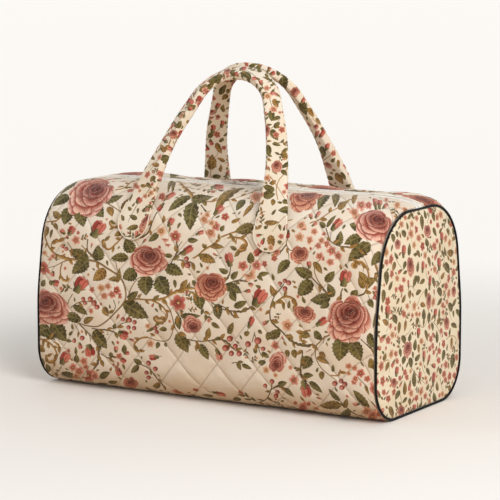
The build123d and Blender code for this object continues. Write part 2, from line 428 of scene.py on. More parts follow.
def attributeFlow(tree, name):
    node = tree.nodes.new("ShaderNodeAttribute")
    node.attribute_name = name
    return Flow(tree, node.outputs["Vector"])


# Motifs of the print, each drawn from its own flat coordinates. A place's third number holds its tone and its variety

def motifGroup(name):
    return newGroup(name, [("Place", "Vector", None)], [("Colour", "Color"), ("Mask", "Float")])


def toneAndVariety(z):
    variety = (z / 4.0).whole()
    return z - variety * 4.0, variety


def ripple(x, y, turn):
    # soft unevenness between -1 and 1
    first = (x * 2.1 + (y * 3.3 + turn).sine() * 1.3).sine()
    return first * (y * 2.7 - (x * 2.9 - turn * 1.7).sine() * 1.1).cosine()


def buildRose():
    tree, given, give = motifGroup("CabbageRose")
    x, y, z = parts(given["Place"])
    tone, variety = toneAndVariety(z)
    shift = ripple(x * 1.3, y * 1.3, variety * 1.9) * 0.075
    twist = ripple(x + 0.4, y * 0.9, variety * 2.7 + 2.0) * 0.5
    petals = [   # middle up and across, radius, petals, turn, how deep its colour is, how far its petals part
        (-0.05, 0.00, 1.00, 5, 0.3, 0.00, 0.24), (-0.05, 0.06, 0.85, 5, 1.6, 0.04, 0.22),
        (0.04, -0.09, 0.69, 4, 2.5, 0.16, 0.20), (0.16, 0.10, 0.56, 3, 0.7, 0.42, 0.18),
        (0.20, -0.08, 0.47, 3, 2.1, 0.62, 0.18), (0.27, 0.07, 0.37, 3, 0.2, 0.80, 0.20),
        (0.25, -0.05, 0.27, 2, 1.3, 0.92, 0.22), (0.31, 0.03, 0.16, 2, 0.3, 1.00, 0.20),
    ]
    outerLight, innerLight = mixed(tone, "#F1C3B2", "#E6A88A"), mixed(tone, "#A8402F", "#AC4227")
    outerDeep, innerDeep = mixed(tone, "#A34537", "#9C3D22"), mixed(tone, "#4A1410", "#4A150C")
    shown, mask = None, None
    for middle, across, radius, count, turn, depth, part in petals:
        px, py = x - middle, y - across
        reach = (px * px + py * py).root()
        angle = py.step("ARCTAN2", px) * (count / 2) + twist + (variety * 1.3 + turn)
        lobe = angle.sine().size()
        share = (reach + shift * radius) / ((lobe ** 0.45) * (radius * part) + radius * (1 - part))
        light, deep = mixed(depth, outerLight, innerLight), mixed(depth, outerDeep, innerDeep)
        body = mixed(share.soft(0.60, 0.93), deep, light)
        body = mixed(lobe.soft(0.40, 0.0) * 0.8, body, deep)
        slope = py * (0.6 if across > 0 else -0.6) + px * 0.7
        body = mixed(slope.soft(-0.2, 0.9) * (0.55 - depth * 0.2), body, deep)
        body = mixed(share.soft(0.90, 0.98) * (0.6 - depth * 0.25), body, mixed(tone, "#F5D6C6", "#EDB797"))
        cover = share.soft(1.0, 0.97)
        if shown is None:
            shown, mask = body, cover
        else:
            shade = share.soft(1.20, 0.99) * mask * 0.95
            shown = mixed(cover, mixed(shade, shown, mixed(depth, outerDeep, innerDeep)), body)
    near = x - 0.2
    reach = (near * near + y * y).root() + 0.02
    turned = y.step("ARCTAN2", near)
    streak = (turned * 19.0 + (turned * 7.0 + variety).sine() * 2.5 + reach * 7.0).sine()
    streak = streak * (turned * 31.0 - reach * 11.0).sine()
    shown = mixed(reach.soft(0.60, 0.06) * 0.42, shown, innerDeep)
    shown = mixed(streak.soft(0.15, 0.8) * 0.13, shown, "#F6D9C8")
    shown = mixed(streak.soft(-0.2, -0.8) * 0.34, shown, mixed(tone, "#8C3F30", "#863520"))
    shown = mixed((mask - 0.5).soft(0.5, 0.0) * 0.7, shown, outerDeep)
    give("Colour", shown)
    give("Mask", mask)
    return tree


def buildLeaf():
    tree, given, give = motifGroup("RoseLeaf")
    x, y, z = parts(given["Place"])
    tone, variety = toneAndVariety(z)
    share = ((x + 1.0) * 0.5).most(0.0).least(1.0)
    bend = y + (share * 3.1).sine() * ((variety - 2.0) * 0.07)
    side = bend.size()
    teeth = (share * 6.5 + variety * 0.3 - side * 0.6).fraction() * -0.21 + 1.10
    edge = (share ** 0.60) * ((1.0 - share) ** 0.95) * 2.75 * teeth
    mask = (edge - side).soft(0.0, 0.09) * share.soft(0.0, 0.02)
    rib = side.soft(0.085, 0.03) * share.soft(1.0, 0.85)
    between = (share * 5.5 - side * 0.75 + variety * 0.2).fraction()
    veins = (between - 0.5).size().soft(0.13, 0.04) * side.soft(0.03, 0.12)
    lit = ripple(x * 2.0, y * 1.5, variety * 2.3) * 0.17 + 0.52
    lit = (lit + bend * 0.20 + share * 0.08).soft(0.36, 0.74)
    olive, ochre = tone.least(1.0), (tone - 1.0).most(0.0)
    deep = mixed(ochre, mixed(olive, "#363214", "#534418"), "#6E4C1E")
    light = mixed(ochre, mixed(olive, "#6E683C", "#8A7640"), "#AE8546")
    vein = mixed(ochre, mixed(olive, "#948A58", "#A99658"), "#C9A466")
    shown = mixed(lit, deep, light)
    shown = mixed(between.soft(0.55, 0.95) * 0.5, shown, deep)
    shown = mixed(veins * 0.36, shown, vein)
    shown = mixed(rib * 0.6, shown, vein)
    shown = mixed((edge - side).soft(0.22, 0.04) * 0.6, shown, deep)
    give("Colour", shown)
    give("Mask", mask)
    return tree


def buildBud():
    tree, given, give = motifGroup("RoseBud")
    x, y, z = parts(given["Place"])
    tone, variety = toneAndVariety(z)
    berry = tone.soft(1.95, 2.0)
    tone = tone - berry * 2.0
    share = ((x + 1.0) * 0.5).most(0.0).least(1.0)
    wave = ripple(x * 1.8, y * 1.8, variety * 2.1) * 0.19
    side = y.size() + wave * 0.22
    wide = (share ** 0.75) * ((1.0 - share) ** 0.36) * 1.75
    frill = (y * 9.0 + variety).sine() * 0.06
    petalMask = (wide - side).soft(0.0, 0.10) * (share + frill).soft(0.985, 0.94) * share.soft(0.16, 0.24)
    lightTone, midTone = mixed(tone, "#CC6654", "#DFA08C"), mixed(tone, "#9A3428", "#B65E4C")
    deepTone = mixed(tone, "#5A1518", "#84332F")
    fold = y + (share * 2.6 + wave * 3.0).sine() * 0.55
    shown = mixed((fold - 0.25).soft(-0.25, 0.35), midTone, lightTone)
    shown = mixed((fold - 0.22).size().soft(0.13, 0.0) * share.soft(0.2, 0.5), shown, deepTone)
    shown = mixed((fold + 0.42).size().soft(0.12, 0.0) * share.soft(0.25, 0.6), shown, deepTone)
    shown = mixed((fold - 0.80).size().soft(0.10, 0.0) * 0.8, shown, deepTone)
    shown = mixed(share.soft(0.82, 0.97) * 0.6, shown, mixed(wave.soft(-0.1, 0.1), lightTone, "#E6B6A0"))
    shown = mixed((wide - side).soft(0.20, 0.02) * 0.6, shown, deepTone)
    shown = mixed(share.soft(0.42, 0.22) * 0.7, shown, deepTone)
    # the green cup with its pointed sepals
    spikes = (y * 5.2 + variety * 0.4).cosine() * 0.5 + 0.5
    cup = (share - spikes * 0.30 + side * 0.18).soft(0.28, 0.22)
    cup = cup * (wide * 0.55 + 0.34 - side).soft(0.0, 0.08) * share.soft(0.0, 0.05)
    wing = (side - share * 1.9 + 0.02).size().soft(0.13, 0.04) * share.soft(0.52, 0.40) * share.soft(0.10, 0.18)
    green = mixed(y.soft(-0.5, 0.4), "#3D3818", "#8B8150")
    shown = mixed(cup.most(wing), shown, green)
    mask = petalMask.most(cup).most(wing)
    reach = (x * x + y * y).root()
    shaded = ((x + 0.3) ** 2.0 + (y - 0.3) ** 2.0).root().soft(0.1, 0.95)
    ball = mixed(shaded, "#D58F7C", mixed(tone, "#8F3830", "#A8584C"))
    ball = mixed(((x - 0.62) ** 2.0 + y * y).root().soft(0.3, 0.12), ball, "#4B2E1C")
    ball = mixed(reach.soft(0.70, 0.98) * 0.75, ball, "#6A241C")
    give("Colour", mixed(berry, shown, ball))
    give("Mask", mask * (1.0 - berry) + reach.soft(1.0, 0.9) * berry)
    return tree


def buildBlossom():
    tree, given, give = motifGroup("SmallBlossom")
    x, y, z = parts(given["Place"])
    tone, variety = toneAndVariety(z)
    reach = (x * x + y * y).root()
    wave = ripple(x * 1.7, y * 1.7, variety * 3.1) * 0.07
    lobe = (y.step("ARCTAN2", x) * 2.5 + variety * 1.1 + wave * 3.0).sine().size()
    share = (reach + wave) / ((lobe ** 0.55) * 0.40 + 0.58)
    mask = share.soft(1.0, 0.93)
    warm, pale = (tone * 2.0).least(1.0), (tone * 2.0 - 1.0).most(0.0)
    deep = mixed(pale, mixed(warm, "#86302A", "#A65444"), "#B07A54")
    light = mixed(pale, mixed(warm, "#BF5A49", "#DE9F8C"), "#E4BE98")
    shown = mixed(share.soft(0.22, 0.80), deep, light)
    shown = mixed(lobe.soft(0.42, 0.05) * share.soft(0.15, 0.5) * 0.9, shown, deep)
    shown = mixed(share.soft(0.80, 0.90) * share.soft(0.99, 0.92) * 0.5, shown, "#F0D2BA")
    shown = mixed(share.soft(0.90, 1.0) * 0.6, shown, deep)
    shown = mixed(reach.soft(0.27, 0.20), shown, "#87502E")
    shown = mixed(reach.soft(0.16, 0.10), shown, "#D9B277")
    give("Colour", shown)
    give("Mask", mask)
    return tree


def buildStem():
    tree, given, give = motifGroup("ScrollingStem")
    away, share, code = parts(given["Place"])
    length = (code / 100.0).whole()
    code = code - length * 100.0
    kind = (code / 10.0).whole()
    width = code - kind * 10.0
    # the gold and brown scrolls swell towards their curled end into rounded lobes on either side in turn
    turn = (share * length) / 6.4 + away.step("SIGN") * 0.25
    lobe = (turn * math.pi).sine().size() * (turn * 0.9).sine().soft(-1.2, 0.4)
    scroll = kind.soft(1.6, 1.4) * width.soft(1.1, 1.5) * share.soft(1.04, 0.86)
    half = width * (0.62 - share * 0.28) + scroll * share.soft(0.25, 0.80) * (width * 0.32 + lobe * 1.25)
    mask = (half - away.size()).soft(-0.16, 0.2) * share.soft(-0.02, 0.02) * share.soft(1.02, 0.98)
    brown, olive, thin = kind.soft(0.1, 0.9), kind.soft(1.1, 1.9), kind.soft(2.1, 2.9)
    deep = mixed(olive, mixed(brown, "#7C5422", "#47361C"), "#5E4826")
    light = mixed(thin, mixed(olive, mixed(brown, "#C89E5C", "#86704A"), "#A08052"), "#7E7648")
    shown = mixed((away / half).soft(-0.5, 0.8), light, deep)
    shown = mixed((away.size() / half).soft(0.45, 1.0) * 0.55, shown, deep)
    shown = mixed(away.size().soft(0.5, 0.2) * scroll * 0.5, shown, deep)
    give("Colour", shown)
    give("Mask", mask)
    return tree


layerTie = 1e-7   # too weak to show


def buildPrint():
    # the layers of the print on their ground, from stems up to roses
    tree, given, give = newGroup("CottageRosePrint", [("Ground", "Color", paint("#E9DCC6"))],
                                 [("Colour", "Color"), ("Mask", "Float")])
    groups = {"stem": buildStem(), "leaf": buildLeaf(), "bud": buildBud(), "blossom": buildBlossom(),
              "rose": buildRose()}
    shown, mask = given["Ground"], None
    for layer in printLayers:
        place = attributeFlow(tree, layer)
        if mask is not None:
            # each layer waits for the one below, which keeps the shader's memory small
            x, y, z = parts(place)
            place = joined(tree, x + parts(shown)[0] * layerTie, y, z)
        motif = useGroup(tree, groups[layer[:-1]], Place=place)
        shown = mixed(motif("Mask"), shown, motif("Colour"))
        mask = motif("Mask") if mask is None else mask.most(motif("Mask"))
    give("Colour", shown)
    give("Mask", mask)
    return tree


def buildWeave():
    # plain weave: warp and weft threads that go over and under each other
    tree, given, give = newGroup("PlainWeave", [("Place", "Vector", None), ("Threads", "Float", 1.2)],
                                 [("Height", "Float"), ("Slub", "Float")])
    u, v, _ = parts(given["Place"])
    u, v = u * given["Threads"], v * given["Threads"]
    over = (u * math.pi).sine() * (v * math.pi).sine()
    weft = (v * (2 * math.pi)).cosine() * 0.5 + 0.5
    warp = (u * (2 * math.pi)).cosine() * 0.5 + 0.5
    slub = noise(joined(tree, u * 0.11, v * 0.02), 6.0, 3.0)
    give("Height", over.soft(-0.4, 0.4) * (warp - weft) + weft + slub * 0.8)
    give("Slub", slub)
    return tree


def buildQuilting():
    # how near a place is to a sewn line of the quilting, and how much the cloth puckers beside it
    tree, given, give = newGroup("QuiltedLines", [("Place", "Vector", None)],
                                 [("Crease", "Float"), ("Height", "Float")])
    u, v, _ = parts(given["Place"])
    strayed = (v / quilting["swayLength"] + quilting["swayShift"]).sine() * quilting["sway"]
    u = u + strayed + (u / quilting["driftLength"]).sine() * quilting["drift"]
    nearest = None
    for lean, shift in sewnLines:
        turn = (u + v * lean) / quilting["repeat"] - shift
        away = ((turn + 0.5).fraction() - 0.5).size() * lineSpacing
        nearest = away if nearest is None else nearest.least(away)
    wrinkle = noise(given["Place"], 0.16, 3.0, 0.55)
    give("Crease", nearest.soft(1.5, 0.2))
    puckered = (wrinkle - 0.5) * nearest.soft(16.0, 1.0) * 1.5
    give("Height", nearest.soft(0.0, 2.6) + nearest.soft(0.0, 9.0) * 1.3 + puckered)
    return tree


# Materials

def newMaterial(name, roughness=0.85, sheen=0.0, sheenRoughness=0.5, specular=0.3, metallic=0.0):
    material = bpy.data.materials.new(name)
    material.use_nodes = True
    tree = material.node_tree
    shader = tree.nodes["Principled BSDF"]
    for label, value in (("Roughness", roughness), ("Sheen Weight", sheen), ("Sheen Roughness", sheenRoughness),
                         ("Specular IOR Level", specular), ("Metallic", metallic)):
        shader.inputs[label].default_value = value
    return material, tree, shader


def complete(made, colour, roughness, height, strength, distance):
    # made is what newMaterial gave, strength and distance are the bump's
    material, tree, shader = made
    tree.links.new(colour.socket, shader.inputs["Base Color"])
    tree.links.new(roughness.socket, shader.inputs["Roughness"])
    bump = tree.nodes.new("ShaderNodeBump")
    bump.inputs["Strength"].default_value = strength
    bump.inputs["Distance"].default_value = distance
    tree.links.new(height.socket, bump.inputs["Height"])
    tree.links.new(bump.outputs[0], shader.inputs["Normal"])
    return material


def objectPlace(tree):
    return Flow(tree, tree.nodes.new("ShaderNodeTexCoord").outputs["Object"])


printGroup = buildPrint()
weaveGroup = buildWeave()
quiltGroup = buildQuilting()


def printedCotton(name, ground, threads=1.15, wear=0.35, sewn=1.0):
    # printed cotton over wadding: the print, the weave with painted shade between its threads, and painted shade in the
    # quilting creases
    made = newMaterial(name, roughness=0.86, sheen=0.12, sheenRoughness=0.55, specular=0.22)
    tree = made[1]
    printed = useGroup(tree, printGroup, Ground=paint(ground))
    cloth = attributeFlow(tree, "cloth")
    weave = useGroup(tree, weaveGroup, Place=cloth, Threads=threads)
    broad = noise(cloth, 0.021, 3.0)
    fine = noise(cloth, 0.33, 3.0, 0.6)
    colour = mixed(broad.soft(0.35, 0.70) * wear, printed("Colour"),
                   mixed(1.0, printed("Colour"), "#EFDDC2", "MULTIPLY"))
    colour = mixed((fine - 0.5).size().soft(0.02, 0.2) * 0.10, colour, "#D9C3A2", "MULTIPLY")
    # painted shade: the low places between the threads are darkened
    colour = mixed((1.0 - weave("Height")).soft(0.2, 1.0) * 0.13, colour, "#B9A88C", "MULTIPLY")
    quilt = useGroup(tree, quiltGroup, Place=cloth)
    # painted shade: the colour is darkened along the quilting creases
    colour = mixed(quilt("Crease") * (0.38 * sewn), colour, mixed(1.0, colour, "#8C7250", "MULTIPLY"))
    return complete(made, colour, weave("Slub") * 0.16 + 0.77,
                    weave("Height") * 0.22 + fine * 0.3 + quilt("Height") * (0.75 * sewn), 0.55, 0.0009)


panelCotton = printedCotton("PanelCotton", "#EBE0D1")
# the end panels' ground is lighter than the side panels' same cloth: painted light on the ends
endCotton = printedCotton("EndCotton", "#F6EDD6", sewn=0.0)
handleCotton = printedCotton("HandleCotton", "#EFE4D2", threads=1.3, sewn=0.0)


def plainCloth(name, colour, shade, threads=1.2, roughness=0.85, sheen=0.1, bump=0.0002):
    # a woven cloth of one colour on Object coordinates, for linings, tapes and bindings
    made = newMaterial(name, roughness=roughness, sheen=sheen, specular=0.2)
    tree = made[1]
    x, y, z = parts(objectPlace(tree))
    place = joined(tree, (x + y * 0.13) * 1000.0, (z + y * 0.9) * 1000.0)
    weave = useGroup(tree, weaveGroup, Place=place, Threads=threads)
    blur = noise(place, 0.05, 3.0)
    tone = mixed(blur.soft(0.3, 0.7) * 0.5 + weave("Slub") * 0.3, colour, shade)
    # painted shade: the low places between the threads take the darker colour
    tone = mixed((1.0 - weave("Height")).soft(0.2, 1.0) * 0.25, tone, shade)
    return complete(made, tone, weave("Slub") * 0.15 + roughness - 0.08, weave("Height"), 0.5, bump)


liningCotton = plainCloth("LiningCotton", "#E6DCCB", "#CFC2AC")
tapeCloth = plainCloth("ZipTapeCloth", "#F7F4EE", "#DED8CE", threads=1.8, roughness=0.7, bump=0.00012)
edgeCotton = plainCloth("EdgeCotton", "#F4ECDD", "#DCCDB4", threads=1.8, roughness=0.8, bump=0.00012)


def threadMaterial(name, colour, shade):
    made = newMaterial(name, roughness=0.6, sheen=0.2, specular=0.3)
    tree = made[1]
    x, y, z = parts(objectPlace(tree))
    twist = ((x + y * 0.8 + z * 0.6) * 9000.0).sine() * 0.5 + 0.5
    return complete(made, mixed(twist * 0.6, colour, shade), twist * 0.15 + 0.5, twist, 0.4, 0.00008)


creamThread = threadMaterial("CreamThread", "#D8C5A8", "#B5A080")
print("materials made")


# Meshes

def meshPiece(name, vertices, faces, material, smooth=True, others=()):
    mesh = bpy.data.meshes.new(name)
    mesh.from_pydata([tuple(v) for v in np.asarray(vertices, float) / 1000.0], [], faces)
    mesh.validate(verbose=False)
    piece = bpy.data.objects.new(name, mesh)
    bpy.context.scene.collection.objects.link(piece)
    mesh.materials.append(material)
    for other in others:
        mesh.materials.append(other)
    mesh.polygons.foreach_set("use_smooth", np.full(len(mesh.polygons), smooth))
    return piece


def layUnwrap(mesh, perLoop):
    layer = mesh.uv_layers.new(name="OFBake")
    layer.data.foreach_set("uv", np.asarray(perLoop, np.float32).ravel())


def markFaces(mesh, first, last, material=None, smooth=None):
    for face in mesh.polygons[first:last]:
        if material is not None:
            face.material_index = material
        if smooth is not None:
            face.use_smooth = smooth


def gridFaces(rows, columns, flip, start=0):
    # quads of a grid whose vertices are numbered row by row
    i, j = np.meshgrid(np.arange(rows - 1), np.arange(columns - 1), indexing="ij")
    a = (start + i * columns + j).ravel()
    quads = np.stack([a, a + 1, a + columns + 1, a + columns], -1)
    return quads[:, ::-1] if flip else quads


def clothShell(name, outer, inner, cloth, motifs, material, flip, unwrap, coarse=4):
    # a closed piece: fine printed outer face, coarse lining behind it, and a rim that joins them
    rows, columns = outer.shape[:2]
    few = inner[::coarse, ::coarse]
    innerRows, innerColumns = few.shape[:2]
    start = rows * columns
    outside = gridFaces(rows, columns, flip)
    inside = gridFaces(innerRows, innerColumns, not flip, start)
    rims = []

    def rim(outerLine, innerLine, turned):
        for k in range(len(innerLine) - 1):
            face = list(outerLine[k * coarse:(k + 1) * coarse + 1]) + [innerLine[k + 1], innerLine[k]]
            rims.append(face[::-1] if turned != flip else face)

    index = np.arange(rows * columns).reshape(rows, columns)
    behind = np.arange(innerRows * innerColumns).reshape(innerRows, innerColumns) + start
    rim(index[0], behind[0], True)
    rim(index[-1], behind[-1], False)
    rim(index[:, 0], behind[:, 0], False)
    rim(index[:, -1], behind[:, -1], True)
    faces = outside.tolist() + inside.tolist() + [[int(v) for v in face] for face in rims]
    vertices = np.concatenate([outer.reshape(-1, 3), few.reshape(-1, 3)])
    piece = meshPiece(name, vertices, faces, material, others=[liningCotton])
    mesh = piece.data
    markFaces(mesh, len(outside), len(outside) + len(inside), material=1)
    markFaces(mesh, len(outside) + len(inside), len(faces), smooth=False)
    corners = cloth.reshape(-1, 2)[outside]
    layPrint(mesh, corners, motifs)
    layCloth(mesh, corners.reshape(-1, 2))
    # the outer face has most of the baked map, the lining and the rims the strip under it
    places = np.zeros((len(mesh.loops), 2))
    low, high = cloth.reshape(-1, 2).min(0), cloth.reshape(-1, 2).max(0)
    scale = min(0.99 / (high - low)[0], 0.90 / (high - low)[1])
    places[:len(outside) * 4] = unwrap((corners.reshape(-1, 2) - low) * scale)
    i, j = np.divmod(inside - start, innerColumns)
    at = len(outside) * 4
    places[at:at + inside.size] = np.stack([0.005 + i.ravel() / innerRows * 0.9,
                                           0.005 + j.ravel() / innerColumns * 0.06], -1)
    at += inside.size
    for number, face in enumerate(rims):
        left = 0.005 + 0.98 * number / len(rims)
        width = 0.98 / len(rims) * 0.9
        spots = [(left + width * k / coarse, 0.085) for k in range(coarse + 1)] + [(left + width, 0.075), (left, 0.075)]
        places[at:at + len(face)] = spots[::-1] if face[0] >= start else spots
        at += len(face)
    layUnwrap(mesh, places)
    return piece


# Side panels

